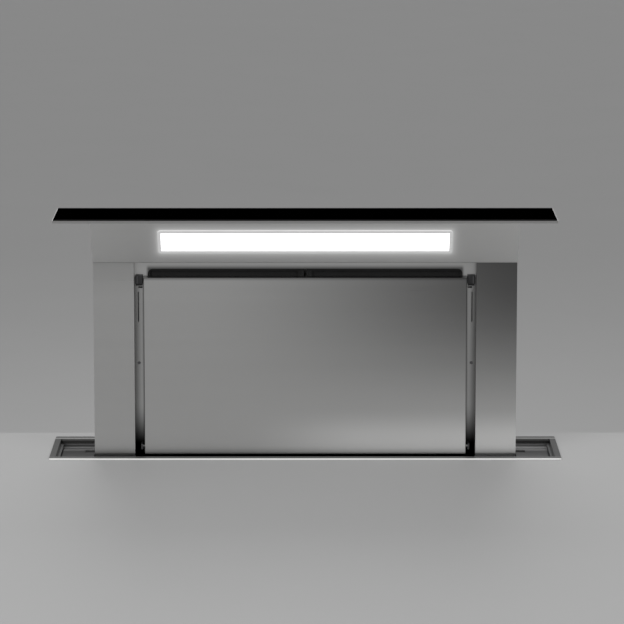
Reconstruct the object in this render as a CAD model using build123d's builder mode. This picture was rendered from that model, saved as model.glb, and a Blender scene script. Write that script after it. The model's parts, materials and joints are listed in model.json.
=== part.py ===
from build123d import *
import math
import os

# Pop-up downdraft vent. Millimetres. X runs to the right, Y to the back, Z up. The origin is
# the centre of the frame, on the plane that its flange lies on. The tower is drawn raised.

os.makedirs("parts", exist_ok=True)

# ---------------------------------------------------------------- driving dimensions

# lift
rise = 415.0
screw_lead = 16.0

# frame and recess
opening_w = 862.0
opening_d = 115.0
flange_side = 10.5
flange_front = 15.0
flange_t = 2.0
frame_wall = 1.5
frame_drop = 20.0
frame_corner = 3.0
frame_edge = 0.4
recess_deep = 12.3
tray_t = 1.5
tray_play = 0.3
ledge_w = 5.0
ledge_up = 6.3

# lid
lid_gap = 2.0
lid_t = 6.0
lid_corner = 0.9
rim_w = 1.0
rim_h = 1.4
glass_in = 1.2
glass_corner = 0.5
glass_t = 2.8
glass_edge = 0.3
glue_t = 0.2
buffer_r = 5.0
buffer_side = 24.0
buffer_back = 20.0
buffer_pitch = 27.0
rest_gap = 0.3

# tower: side outline, measured in from the opening's edges
wing_w = 66.0
back_in = 7.5
head_in = 4.5
col_in = 26.5
col_lean = 31.0
head_step = 7.0
head_h = 78.0
tower_foot_z = -180.0
sheet = 1.5
head_sheet = 1.2
tower_gap_x = 3.5
tower_gap_y = 3.0

# pillars, front panel and filter frame
pillar_w = 70.0
side_air = 16.5
top_air = 27.5
panel_low_z = -1.5
panel_fold = 12.0
panel_sheet = 1.2
panel_edge_r = 1.0
recess_y = 18.0
filter_side = 23.0
filter_open_low_z = 14.0
filter_open_drop = 15.5
filter_open_r = 9.0
filter_lap = 6.0
filter_split = 2.0
filter_t = 9.0
filter_rim = 10.0
filter_skin = 3.5
handle_w = 70.0
handle_h = 14.0
handle_t = 3.0
handle_drop = 17.0
latch_in = 6.5
latch_w = 1.8
latch_h = 52.0
latch_drop = 11.5

# panel pivots and clips
pivot_r = 2.5
pivot_up = 13.0
pivot_in = 6.0
pivot_fit = 0.05
ear_t = 3.0
ear_off = 3.0
clip_w = 13.0
clip_h = 19.0
clip_d = 9.0
clip_over = 2.5
small_head_r = 2.6
small_head_t = 1.6
strip_screw_z = 154.0
strip_screw_in = 7.0

# light
light_side = 119.0
light_h = 40.0
light_share = 0.47
pane_play = 0.2
bezel_w = 5.5
bezel_t = 1.0
diffuser_t = 3.0
led_board_t = 1.6
led_board_h = 26.0

# touch board
touch_w = 120.0
touch_d = 34.0
touch_t = 2.6
touch_in = 95.0
touch_play = 0.5

# housing below the frame
house_gap_x = 15.5
house_sheet = 1.5
house_foot_z = -690.0

# guides
rail_w = 24.0
rail_run = 3.0
rail_web = 2.5
rail_slot_w = 12.0
rail_top_z = -30.0
rail_foot_gap = 10.0
shoe_h = 50.0
shoe_play = 0.3
shoe_foot = 5.0
shoe_step = 80.0
pad_y = 26.0
pad_d = 13.0
pad_end = 0.5
pad_lap = 6.5
pad_play = 0.2

# lift drive
screw_r = 6.0
screw_in = 28.0
screw_over = 6.0
thread_deep = 0.8
thread_w = 4.0
carrier_t = 4.0
carrier_hole_in = 3.0
nut_r = 13.0
nut_flange_r = 18.0
nut_flange_t = 5.0
nut_h = 20.0
bearing_w = 40.0
bearing_back = 10.0
bearing_h = 12.0
run_fit = 0.05
belt_w = 8.0
belt_t = 1.5
belt_gap = 0.3
belt_side = 0.4
belt_drop = 6.0
belt_part = 1.0
pulley_r = 20.0
motor_pulley_r = 12.0
pulley_rim = 3.0
pulley_disc = 1.0
pan_deep = 36.0
pan_sheet = 1.2
motor_off = 90.0
gear_w = 42.0
gear_h = 26.0
motor_can_r = 18.0
motor_can_h = 56.0
motor_shaft_r = 4.0
shaft_hole = 3.0
switch_x = -150.0
switch_w = 20.0
switch_d = 10.0
switch_h = 18.0
switch_play = 0.5
plunger_h = 4.0
plunger_r = 2.0

# blower
blower_left = 220.0
blower_right = 160.0
blower_h = 360.0
blower_sheet = 1.5
fan_x = -30.0
fan_up = 180.0
fan_r = 95.0
fan_run = 2.0
fan_h = 90.0
fan_blade_t = 1.5
fan_blade_w = 20.0
fan_blades = 24
fan_blade_turn = 25.0
fan_disc = 2.0
fan_hub_r = 14.0
fan_hub_h = 30.0
fan_shaft_r = 5.0
fan_shaft_in = 20.0
inlet_in = 13.0
inlet_ring_w = 14.0
inlet_lip_h = 10.0
inlet_lip_in = 4.0
scroll_t = 1.2
scroll_start = 9.0
scroll_gap = 4.0
fan_motor_r = 45.0
fan_motor_h = 50.0
fan_motor_gap = 3.0
spider_t = 2.0
spider_r = 60.0
spider_leg_r = 6.0
spider_leg_h = 11.5
lug_w = 10.0
lug_d = 8.0

# outlet
duct_r = 74.5
duct_wall = 1.5
duct_len = 80.0
duct_flange = 8.5
duct_up = 94.0
flap_gap = 1.5
flap_t = 1.0
flap_pin_r = 1.5
flap_knuckle_r = 2.8
flap_in = 8.0
flap_part = 0.5
flap_end = 2.0
flap_pin_play = 0.2

# control box
ctrl_in = 32.0
ctrl_w = 190.0
ctrl_h = 130.0
ctrl_d = 50.0
ctrl_top_z = -180.0
ctrl_wall = 2.0
ctrl_boss = 7.0
ctrl_board_in = 10.0
ctrl_board_t = 1.6
ctrl_post_h = 8.0
ctrl_post_r = 4.0
gland_r = 11.0
gland_bore = 5.0
gland_thread = 1.5
gland_len = 18.0
gland_step = 2.0
gland_drop = 95.0

# fixing
clamp_in = 115.0
clamp_w = 30.0
clamp_reach = 26.0
clamp_t = 2.0
clamp_z = -60.0
clamp_h = 30.0
clamp_screw_r = 3.0
clamp_screw_up = 22.0
clamp_hole_in = 8.0
clamp_tail = 10.0
clamp_head_t = 4.0
clamp_foot_t = 3.0
foot_w = 60.0
foot_reach = 58.0
foot_t = 2.5
foot_h = 85.0
foot_hole_r = 4.25
foot_hole_in = 22.0
foot_pitch = 36.0
rivet_r = 2.0
rivet_t = 1.2
rivets_each_way = 3
case_head_r = 3.6
case_head_t = 2.2
case_socket_r = 1.7
case_socket_deep = 1.2

# ---------------------------------------------------------------- values that follow

# opening, lid and recess
half_open_w = opening_w / 2
half_open_d = opening_d / 2
lid_w = opening_w - 2 * lid_gap
lid_d = opening_d - 2 * lid_gap
lid_top = rise + flange_t
tower_top = lid_top - lid_t
tray_top = -recess_deep
tray_foot = tray_top - tray_t

# tower
half_tower = half_open_w - wing_w
tower_back_y = half_open_d - back_in
head_front_y = -half_open_d + head_in
col_front_y = -half_open_d + col_in
col_top_y = col_front_y + col_lean
head_low_y = col_top_y - head_step
head_low_z = tower_top - head_h
pillar_in = half_tower - pillar_w
panel_half = pillar_in - side_air
pillar_back = tower_back_y - sheet
panel_top_z = head_low_z - top_air
filter_open_w = 2 * (pillar_in - filter_side)
filter_open_top_z = head_low_z - filter_open_drop
clip_low_z = panel_top_z + clip_over - clip_h
light_w = 2 * (half_tower - light_side)
touch_x = half_tower - touch_in

# housing, guides and lift drive
house_half_d = half_open_d - house_sheet
house_x = half_tower + house_gap_x
house_out_x = house_x + house_sheet
house_out_y = house_half_d + house_sheet
base_top = house_foot_z + house_sheet
pan_foot = house_foot_z - pan_deep
rail_deep = house_gap_x - rail_run
rail_slot_deep = rail_deep - rail_web
pad_w = house_gap_x - tower_gap_x - pad_end
pad_low_y = pad_y - pad_d / 2
pad_high_y = pad_y + pad_d / 2
screw_x = half_tower - pillar_w / 2
screw_y = tower_back_y - screw_in
motor_x = screw_x - motor_off

# blower
fan_y = -house_out_y
fan_z = house_foot_z + fan_up
fan_front = inlet_lip_h + fan_run
blower_x0 = fan_x - blower_left
blower_x1 = fan_x + blower_right
blower_z0 = house_foot_z
blower_z1 = house_foot_z + blower_h
blower_d = (blower_sheet + fan_front + fan_h + fan_motor_gap + fan_motor_h
            + spider_t + spider_leg_h)
blower_y = fan_y - blower_d
inlet_r = fan_r - inlet_in
scroll_r0 = fan_r + scroll_start
scroll_r1 = blower_h - fan_up - scroll_gap
duct_z = fan_z + duct_up


def col_y(z):
    """Front face of the column at height z."""
    if z <= 0:
        return col_front_y
    return col_front_y + (col_top_y - col_front_y) * z / head_low_z


def face_points(z0, z1, front, back):
    """Side outline between two depths behind the column's front face."""
    low = [(col_y(z0) + front, z0)]
    if z0 < 0 < z1:
        low.append((col_front_y + front, 0))
    low.append((col_y(z1) + front, z1))
    high = [(col_y(z1) + back, z1)]
    if z0 < 0 < z1:
        high.append((col_front_y + back, 0))
    high.append((col_y(z0) + back, z0))
    return low + high


def block(x0, x1, y0, y1, z0, z1, mode=Mode.ADD):
    """Straight block between six planes."""
    with Locations(((x0 + x1) / 2, (y0 + y1) / 2, (z0 + z1) / 2)):
        Box(x1 - x0, y1 - y0, z1 - z0, mode=mode)


def side_prism(points, x0, x1, mode=Mode.ADD):
    """Side outline, points (y, z), drawn out along X."""
    with BuildSketch(Plane.YZ.offset(x0)) as outline:
        with BuildLine():
            Polyline(*points, close=True)
        make_face()
    extrude(outline.sketch, amount=x1 - x0, mode=mode)


def rod_z(x, y, z0, z1, r, mode=Mode.ADD):
    """Upright cylinder."""
    with Locations((x, y, (z0 + z1) / 2)):
        Cylinder(r, z1 - z0, mode=mode)


def rod_y(x, z, y0, y1, r, mode=Mode.ADD):
    """Cylinder along Y."""
    with Locations(Location((x, (y0 + y1) / 2, z), (90, 0, 0))):
        Cylinder(r, y1 - y0, mode=mode)


def rod_x(y, z, x0, x1, r, mode=Mode.ADD):
    """Cylinder along X."""
    with Locations(Location(((x0 + x1) / 2, y, z), (0, 90, 0))):
        Cylinder(r, x1 - x0, mode=mode)


# ---------------------------------------------------------------- frame and recess

# flange round the opening, with four walls that go down into the cut-out
with BuildPart() as worktop_frame:
    with BuildSketch(Plane.XY):
        RectangleRounded(opening_w + 2 * flange_side, opening_d + 2 * flange_front, frame_corner)
        Rectangle(opening_w, opening_d, mode=Mode.SUBTRACT)
    extrude(amount=flange_t)
    with BuildSketch(Plane.XY.offset(-frame_drop)):
        Rectangle(opening_w + 2 * frame_wall, opening_d + 2 * frame_wall)
        Rectangle(opening_w, opening_d, mode=Mode.SUBTRACT)
    extrude(amount=frame_drop)
    top_edges = worktop_frame.faces().sort_by(Axis.Z)[-1].edges()
    chamfer(top_edges, length=frame_edge)
worktop_frame.part.label = "worktop_frame"
export_step(worktop_frame.part, "parts/worktop_frame.step")

tray_hole_x = half_tower + tower_gap_x

# floor of the recess with a ledge round it, the tower's hole and a notch at each end of it
with BuildPart() as recess_tray:
    tray_x = half_open_w - tray_play
    tray_y = half_open_d - tray_play
    block(-tray_x, tray_x, -tray_y, tray_y, tray_foot, tray_top + ledge_up)
    block(-tray_x + ledge_w, tray_x - ledge_w, -tray_y + ledge_w, tray_y - ledge_w,
          tray_top, tray_top + ledge_up, Mode.SUBTRACT)
    block(-tray_hole_x, tray_hole_x, head_front_y - tower_gap_y, tower_back_y + tower_gap_y,
          tray_foot, tray_top + ledge_up, Mode.SUBTRACT)
    notch_x = tray_hole_x + pad_w + pad_lap
    block(-notch_x, notch_x, pad_low_y, pad_high_y, tray_foot, tray_top, Mode.SUBTRACT)
recess_tray.part.label = "recess_tray"
export_step(recess_tray.part, "parts/recess_tray.step")

# black guide pads in the notches: a head that lies on the housing's flange, and a body below it
with BuildPart() as guide_pads:
    for side in (-1, 1):
        near = side * (tray_hole_x + pad_play)
        block(*sorted((near, side * (notch_x - pad_play))),
              pad_low_y + pad_play, pad_high_y - pad_play, tray_foot, tray_top - pad_play)
        block(*sorted((near, side * (tray_hole_x + pad_w - pad_play))),
              pad_low_y + pad_play, pad_high_y - pad_play, rail_top_z, tray_foot)
guide_pads.part.label = "guide_pads"
export_step(guide_pads.part, "parts/guide_pads.step")

# ---------------------------------------------------------------- lid

# steel plate on the head, with a low rim round the glass and a window for the touch board
with BuildPart() as lid_plate:
    plate_top = lid_top - glass_t - glue_t
    block(-lid_w / 2, lid_w / 2, -lid_d / 2, lid_d / 2, tower_top, plate_top + rim_h)
    fillet(lid_plate.edges().filter_by(Axis.Z), radius=lid_corner)
    block(-lid_w / 2 + rim_w, lid_w / 2 - rim_w, -lid_d / 2 + rim_w, lid_d / 2 - rim_w,
          plate_top, plate_top + rim_h, Mode.SUBTRACT)
    block(touch_x - touch_w / 2 - touch_play, touch_x + touch_w / 2 + touch_play,
          -touch_d / 2 - touch_play, touch_d / 2 + touch_play, tower_top, lid_top, Mode.SUBTRACT)
lid_plate.part.label = "lid_plate"
export_step(lid_plate.part, "parts/lid_plate.step")

# black glass inside the plate's rim, on a thin bed of glue
with BuildPart() as lid_glass:
    block(-lid_w / 2 + glass_in, lid_w / 2 - glass_in, -lid_d / 2 + glass_in, lid_d / 2 - glass_in,
          lid_top - glass_t, lid_top)
    fillet(lid_glass.edges().filter_by(Axis.Z), radius=glass_corner)
    chamfer(lid_glass.faces().sort_by(Axis.Z)[-1].edges(), length=glass_edge)
lid_glass.part.label = "lid_glass"
export_step(lid_glass.part, "parts/lid_glass.step")

# rubber buffers under the lid, which land on the recess tray
with BuildPart() as lid_buffers:
    back = lid_d / 2 - buffer_back
    for bx in (-lid_w / 2 + buffer_side, lid_w / 2 - buffer_side):
        for by in (back - buffer_pitch, back):
            rod_z(bx, by, tray_top + rise + rest_gap, tower_top, buffer_r)
lid_buffers.part.label = "lid_buffers"
export_step(lid_buffers.part, "parts/lid_buffers.step")

# ---------------------------------------------------------------- tower

head_outline = [(head_front_y, tower_top), (pillar_back, tower_top),
                (pillar_back, head_low_z), (head_low_y, head_low_z)]
slant = math.hypot(head_low_y - head_front_y, tower_top - head_low_z)
slant_y = (head_low_y - head_front_y) / slant
slant_z = (tower_top - head_low_z) / slant
light_mid = (0, head_front_y + light_share * slant * slant_y,
             tower_top - light_share * slant * slant_z)
light_plane = Plane(origin=light_mid, x_dir=(1, 0, 0), z_dir=(0, -slant_z, -slant_y))

# head: hollow shell with the leaning face and the light's window
with BuildPart() as head_shell:
    side_prism(head_outline, -half_tower, half_tower)
    with BuildSketch(Plane.YZ.offset(-half_tower + head_sheet)) as hollow:
        with BuildLine():
            Polyline(*head_outline, close=True)
        make_face()
        offset(amount=-head_sheet, kind=Kind.INTERSECTION)
    extrude(hollow.sketch, amount=2 * (half_tower - head_sheet), mode=Mode.SUBTRACT)
    with BuildSketch(light_plane) as window:
        Rectangle(light_w, light_h)
    extrude(window.sketch, amount=2 * head_sheet, both=True, mode=Mode.SUBTRACT)
head_shell.part.label = "head_shell"
export_step(head_shell.part, "parts/head_shell.step")

# steel-coloured bezel round the light
with BuildPart() as light_bezel:
    with BuildSketch(light_plane) as ring:
        RectangleRounded(light_w + 2 * bezel_w, light_h + 2 * bezel_w, bezel_w)
        Rectangle(light_w, light_h, mode=Mode.SUBTRACT)
    extrude(ring.sketch, amount=bezel_t)
light_bezel.part.label = "light_bezel"
export_step(light_bezel.part, "parts/light_bezel.step")

# opal light window
with BuildPart() as light_diffuser:
    with BuildSketch(light_plane.offset(bezel_t - diffuser_t)) as pane:
        Rectangle(light_w - 2 * pane_play, light_h - 2 * pane_play)
    extrude(pane.sketch, amount=diffuser_t)
light_diffuser.part.label = "light_diffuser"
export_step(light_diffuser.part, "parts/light_diffuser.step")

# light board behind the window: strip with its lamps
with BuildPart() as light_board:
    board_plane = light_plane.offset(bezel_t - diffuser_t - led_board_t)
    with BuildSketch(board_plane) as strip:
        Rectangle(light_w - 2 * bezel_w, led_board_h)
    extrude(strip.sketch, amount=led_board_t)
light_board.part.label = "light_board"
export_step(light_board.part, "parts/light_board.step")

# touch board under the glass, in the plate's window
with BuildPart() as touch_board:
    block(touch_x - touch_w / 2, touch_x + touch_w / 2, -touch_d / 2, touch_d / 2,
          tower_top, tower_top + touch_t)
touch_board.part.label = "touch_board"
export_step(touch_board.part, "parts/touch_board.step")

# back sheet of the tower
with BuildPart() as tower_back:
    block(-half_tower, half_tower, pillar_back, tower_back_y, tower_foot_z, tower_top)
tower_back.part.label = "tower_back"
export_step(tower_back.part, "parts/tower_back.step")


def pillar(side):
    """One pillar: leaning front, side wall and the return beside the air gap."""
    full = face_points(tower_foot_z, head_low_z, 0, 0)[:3]
    outline = full + [(pillar_back, head_low_z), (pillar_back, tower_foot_z)]
    hollow = [(y + sheet, z) for y, z in full] + outline[3:]
    behind = [(y + recess_y + sheet, z) for y, z in full] + outline[3:]
    side_prism(outline, *sorted((side * pillar_in, side * half_tower)))
    side_prism(hollow, *sorted((side * (pillar_in + sheet), side * (half_tower - sheet))),
               mode=Mode.SUBTRACT)
    side_prism(behind, *sorted((side * pillar_in, side * (pillar_in + sheet))),
               mode=Mode.SUBTRACT)


with BuildPart() as pillar_left:
    pillar(-1)
pillar_left.part.label = "pillar_left"
export_step(pillar_left.part, "parts/pillar_left.step")

with BuildPart() as pillar_right:
    pillar(1)
pillar_right.part.label = "pillar_right"
export_step(pillar_right.part, "parts/pillar_right.step")

carrier_top = tower_foot_z + carrier_t

# recessed plate between the pillars, with the filters' opening and a slit beside each pillar
# for the panel's latch
with BuildPart() as filter_frame:
    side_prism(face_points(carrier_top, head_low_z, recess_y, recess_y + sheet),
               -pillar_in, pillar_in)
    with BuildSketch(Plane.XZ.offset(-tower_back_y)) as hole:
        with Locations((0, (filter_open_low_z + filter_open_top_z) / 2)):
            RectangleRounded(filter_open_w, filter_open_top_z - filter_open_low_z, filter_open_r)
        latch_z = clip_low_z - latch_drop - latch_h / 2
        with Locations((-pillar_in + latch_in, latch_z), (pillar_in - latch_in, latch_z)):
            SlotOverall(latch_h, latch_w, rotation=90)
    extrude(hole.sketch, amount=2 * tower_back_y, mode=Mode.SUBTRACT)
filter_frame.part.label = "filter_frame"
export_step(filter_frame.part, "parts/filter_frame.step")


def filter_cassette(side):
    """One grease filter: a rimmed pack behind the filter frame, with its folded handle."""
    inner = filter_split
    outer = filter_open_w / 2 + filter_lap
    z0 = filter_open_low_z - filter_lap
    z1 = filter_open_top_z + filter_lap
    front = recess_y + sheet
    side_prism(face_points(z0, z1, front, front + filter_t), *sorted((side * inner, side * outer)))
    a = side * (inner + filter_rim)
    b = side * (outer - filter_rim)
    for near, deep in ((front, front + filter_skin),
                       (front + filter_t - filter_skin, front + filter_t)):
        side_prism(face_points(z0 + filter_rim, z1 - filter_rim, near, deep),
                   *sorted((a, b)), mode=Mode.SUBTRACT)
    mid = side * (inner + outer) / 2
    top = filter_open_top_z - handle_drop
    side_prism(face_points(top - handle_h, top, front - handle_t, front + filter_skin),
               mid - handle_w / 2, mid + handle_w / 2)


with BuildPart() as filter_left:
    filter_cassette(-1)
filter_left.part.label = "filter_left"
export_step(filter_left.part, "parts/filter_left.step")

with BuildPart() as filter_right:
    filter_cassette(1)
filter_right.part.label = "filter_right"
export_step(filter_right.part, "parts/filter_right.step")

# front panel: folded sheet, flush with the pillars, with a pin at each lower end
pivot_z = panel_low_z + pivot_up
pivot_y = col_y(pivot_z) + pivot_in
with BuildPart() as front_panel:
    side_prism(face_points(panel_low_z, panel_top_z, 0, panel_fold), -panel_half, panel_half)
    side_prism(face_points(panel_low_z + panel_sheet, panel_top_z - panel_sheet,
                           panel_sheet, panel_fold),
               -panel_half + panel_sheet, panel_half - panel_sheet, Mode.SUBTRACT)
    front_face = front_panel.faces().sort_by(Axis.Y)[0]
    fillet(front_face.edges(), radius=panel_edge_r)
    for side in (-1, 1):
        rod_x(pivot_y, pivot_z,
              *sorted((side * (panel_half - panel_sheet), side * (panel_half + ear_off + ear_t))),
              pivot_r)
front_panel.part.label = "front_panel"
export_step(front_panel.part, "parts/front_panel.step")

# ears that hold the panel's pins, on the filter frame
with BuildPart() as panel_pivots:
    for side in (-1, 1):
        x0, x1 = sorted((side * (panel_half + ear_off), side * (panel_half + ear_off + ear_t)))
        side_prism([(pivot_y - 2 * pivot_r, pivot_z - 2 * pivot_r),
                    (pivot_y - 2 * pivot_r, pivot_z + 2 * pivot_r),
                    (col_y(pivot_z + 2 * pivot_r) + recess_y, pivot_z + 2 * pivot_r),
                    (col_y(pivot_z - 2 * pivot_r) + recess_y, pivot_z - 2 * pivot_r)], x0, x1)
        rod_x(pivot_y, pivot_z, x0, x1, pivot_r + pivot_fit, Mode.SUBTRACT)
panel_pivots.part.label = "panel_pivots"
export_step(panel_pivots.part, "parts/panel_pivots.step")

# black catches beside the panel's top corners
with BuildPart() as panel_clips:
    for side in (-1, 1):
        mid = side * (panel_half + pillar_in) / 2
        side_prism(face_points(clip_low_z, clip_low_z + clip_h, recess_y - clip_d, recess_y),
                   mid - clip_w / 2, mid + clip_w / 2)
panel_clips.part.label = "panel_clips"
export_step(panel_clips.part, "parts/panel_clips.step")

# small round heads in the recessed strips
with BuildPart() as tower_screws:
    for z in (strip_screw_z, -strip_screw_z / 2):
        lean = 0.0
        if z > 0:
            lean = math.degrees(math.atan2(col_top_y - col_front_y, head_low_z))
        for side in (-1, 1):
            x = side * (pillar_in - strip_screw_in)
            with Locations(Location((x, col_y(z) + recess_y, z), (90 - lean, 0, 0))):
                Cylinder(small_head_r, small_head_t,
                         align=(Align.CENTER, Align.CENTER, Align.MIN))
tower_screws.part.label = "tower_screws"
export_step(tower_screws.part, "parts/tower_screws.step")

# foot of the tower: plate with the air's way down and the nuts' holes
with BuildPart() as carrier_plate:
    block(-half_tower + sheet, half_tower - sheet, col_front_y + sheet, pillar_back,
          tower_foot_z, carrier_top)
    block(-pillar_in + side_air, pillar_in - side_air, col_front_y + recess_y + 3 * sheet,
          pillar_back - 3 * sheet, tower_foot_z, carrier_top, Mode.SUBTRACT)
    for side in (-1, 1):
        rod_z(side * screw_x, screw_y, tower_foot_z, carrier_top,
              nut_r - carrier_hole_in, Mode.SUBTRACT)
        block(*sorted((side * pillar_in, side * (pillar_in + sheet))), col_front_y,
              col_front_y + recess_y + sheet, tower_foot_z, carrier_top, Mode.SUBTRACT)
carrier_plate.part.label = "carrier_plate"
export_step(carrier_plate.part, "parts/carrier_plate.step")

# flanged nuts on the carrier plate
with BuildPart() as lead_nuts:
    for side in (-1, 1):
        rod_z(side * screw_x, screw_y, carrier_top, carrier_top + nut_flange_t, nut_flange_r)
        rod_z(side * screw_x, screw_y, carrier_top + nut_flange_t, carrier_top + nut_h, nut_r)
        rod_z(side * screw_x, screw_y, carrier_top, carrier_top + nut_h,
              screw_r + run_fit, Mode.SUBTRACT)
lead_nuts.part.label = "lead_nuts"
export_step(lead_nuts.part, "parts/lead_nuts.step")

# polymer shoes on the tower's sides, which run in the rails
with BuildPart() as guide_shoes:
    for side in (-1, 1):
        for step in (0, 1):
            low = tower_foot_z + shoe_foot + step * shoe_step
            tip = house_x - rail_deep + rail_slot_deep - shoe_play
            x0, x1 = sorted((side * half_tower, side * tip))
            block(x0, x1, -rail_slot_w / 2 + shoe_play, rail_slot_w / 2 - shoe_play,
                  low, low + shoe_h)
guide_shoes.part.label = "guide_shoes"
export_step(guide_shoes.part, "parts/guide_shoes.step")

# ---------------------------------------------------------------- housing

# back sheet
with BuildPart() as housing_back:
    block(-house_out_x, house_out_x, house_half_d, house_out_y, house_foot_z, tray_foot)
housing_back.part.label = "housing_back"
export_step(housing_back.part, "parts/housing_back.step")

# front sheet with the blower's inlet hole
with BuildPart() as housing_front:
    block(-house_out_x, house_out_x, -house_out_y, -house_half_d, house_foot_z, tray_foot)
    rod_y(fan_x, fan_z, -house_out_y, -house_half_d, inlet_r, Mode.SUBTRACT)
housing_front.part.label = "housing_front"
export_step(housing_front.part, "parts/housing_front.step")


def housing_side(side):
    """Side sheet with the flange that carries the recess tray and a lip on the frame's wall."""
    block(*sorted((side * house_x, side * house_out_x)), -house_half_d, house_half_d,
          house_foot_z, tray_foot)
    block(*sorted((side * house_x, side * half_open_w)), -house_half_d, house_half_d,
          tray_foot - house_sheet, tray_foot)
    block(*sorted((side * (half_open_w - house_sheet), side * half_open_w)),
          -house_half_d, house_half_d, -frame_drop, tray_foot)


with BuildPart() as housing_left:
    housing_side(-1)
housing_left.part.label = "housing_left"
export_step(housing_left.part, "parts/housing_left.step")

with BuildPart() as housing_right:
    housing_side(1)
housing_right.part.label = "housing_right"
export_step(housing_right.part, "parts/housing_right.step")

# base with the screws' and the motor shaft's holes
with BuildPart() as housing_base:
    block(-house_x, house_x, -house_half_d, house_half_d, house_foot_z, base_top)
    for x in (-screw_x, screw_x):
        rod_z(x, screw_y, house_foot_z, base_top, screw_r + shaft_hole, Mode.SUBTRACT)
    rod_z(motor_x, screw_y, house_foot_z, base_top, motor_shaft_r + shaft_hole, Mode.SUBTRACT)
housing_base.part.label = "housing_base"
export_step(housing_base.part, "parts/housing_base.step")


def guide_rail(side):
    """C rail on the housing's side, open towards the tower."""
    low = house_foot_z + rail_foot_gap
    block(*sorted((side * (house_x - rail_deep), side * house_x)), -rail_w / 2, rail_w / 2,
          low, rail_top_z)
    block(*sorted((side * (house_x - rail_deep), side * (house_x - rail_deep + rail_slot_deep))),
          -rail_slot_w / 2, rail_slot_w / 2, low, rail_top_z, Mode.SUBTRACT)


with BuildPart() as guide_rails:
    guide_rail(-1)
    guide_rail(1)
guide_rails.part.label = "guide_rails"
export_step(guide_rails.part, "parts/guide_rails.step")

# ---------------------------------------------------------------- lift drive

screw_top = tower_foot_z + carrier_t + nut_h + screw_over
belt_up_top = house_foot_z - belt_drop
belt_up_low = belt_up_top - belt_w
belt_low_top = belt_up_low - 2 * pulley_disc - 2 * belt_side - belt_part
belt_low_low = belt_low_top - belt_w


def lead_screw(x):
    """Plain-shafted screw with a grooved length where the nut runs."""
    rod_z(x, screw_y, belt_low_low - 3 * pulley_disc, screw_top, screw_r)
    z = base_top + bearing_h + screw_lead
    with BuildSketch(Plane.XZ.offset(-screw_y)) as grooves:
        while z < screw_top - screw_lead:
            with Locations((x + screw_r, z)):
                Rectangle(2 * thread_deep, thread_w)
            z += screw_lead
    revolve(grooves.sketch, axis=Axis((x, screw_y, 0), (0, 0, 1)), mode=Mode.SUBTRACT)


with BuildPart() as lead_screw_left:
    lead_screw(-screw_x)
lead_screw_left.part.label = "lead_screw_left"
export_step(lead_screw_left.part, "parts/lead_screw_left.step")

with BuildPart() as lead_screw_right:
    lead_screw(screw_x)
lead_screw_right.part.label = "lead_screw_right"
export_step(lead_screw_right.part, "parts/lead_screw_right.step")


def pulley(x, belt_low, belt_top, r, bore):
    """Flanged pulley round one belt."""
    rod_z(x, screw_y, belt_low - belt_side - pulley_disc, belt_top + belt_side + pulley_disc, r)
    rod_z(x, screw_y, belt_low - belt_side - pulley_disc, belt_low - belt_side, r + pulley_rim)
    rod_z(x, screw_y, belt_top + belt_side, belt_top + belt_side + pulley_disc, r + pulley_rim)
    rod_z(x, screw_y, belt_low - belt_side - pulley_disc, belt_top + belt_side + pulley_disc,
          bore, Mode.SUBTRACT)


with BuildPart() as pulley_left:
    pulley(-screw_x, belt_low_low, belt_low_top, pulley_r, screw_r)
pulley_left.part.label = "pulley_left"
export_step(pulley_left.part, "parts/pulley_left.step")

# double pulley on the driven screw
with BuildPart() as pulley_right:
    pulley(screw_x, belt_low_low, belt_low_top, pulley_r, screw_r)
    pulley(screw_x, belt_up_low, belt_up_top, pulley_r, screw_r)
    rod_z(screw_x, screw_y, belt_low_top, belt_up_low, 2 * screw_r)
    rod_z(screw_x, screw_y, belt_low_top, belt_up_low, screw_r, Mode.SUBTRACT)
pulley_right.part.label = "pulley_right"
export_step(pulley_right.part, "parts/pulley_right.step")

# motor pulley and its shaft
with BuildPart() as motor_pulley:
    pulley(motor_x, belt_up_low, belt_up_top, motor_pulley_r, motor_shaft_r)
    rod_z(motor_x, screw_y, belt_up_low - 2 * pulley_disc, base_top + gear_h / 2, motor_shaft_r)
motor_pulley.part.label = "motor_pulley"
export_step(motor_pulley.part, "parts/motor_pulley.step")


def belt(x0, r0, x1, r1, low):
    """Flat belt round two pulleys."""
    inner = belt_gap
    outer = belt_gap + belt_t
    with BuildSketch(Plane.XY.offset(low)) as loop:
        for extra, how in ((outer, Mode.ADD), (inner, Mode.SUBTRACT)):
            with BuildSketch(Plane.XY.offset(low), mode=how):
                with Locations((x0, screw_y)):
                    Circle(r0 + extra)
                with Locations((x1, screw_y)):
                    Circle(r1 + extra)
                make_hull()
    extrude(loop.sketch, amount=belt_w)


# short belt from the motor to the driven screw, long belt on to the other screw
with BuildPart() as belts:
    belt(motor_x, motor_pulley_r, screw_x, pulley_r, belt_up_low)
    belt(-screw_x, pulley_r, screw_x, pulley_r, belt_low_low)
belts.part.label = "belts"
export_step(belts.part, "parts/belts.step")

# bearing blocks on the base
with BuildPart() as screw_bearings:
    for x in (-screw_x, screw_x):
        block(x - bearing_w / 2, x + bearing_w / 2, screw_y - bearing_w / 2,
              screw_y + bearing_back, base_top, base_top + bearing_h)
        rod_z(x, screw_y, base_top, base_top + bearing_h, screw_r + run_fit, Mode.SUBTRACT)
screw_bearings.part.label = "screw_bearings"
export_step(screw_bearings.part, "parts/screw_bearings.step")

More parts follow.
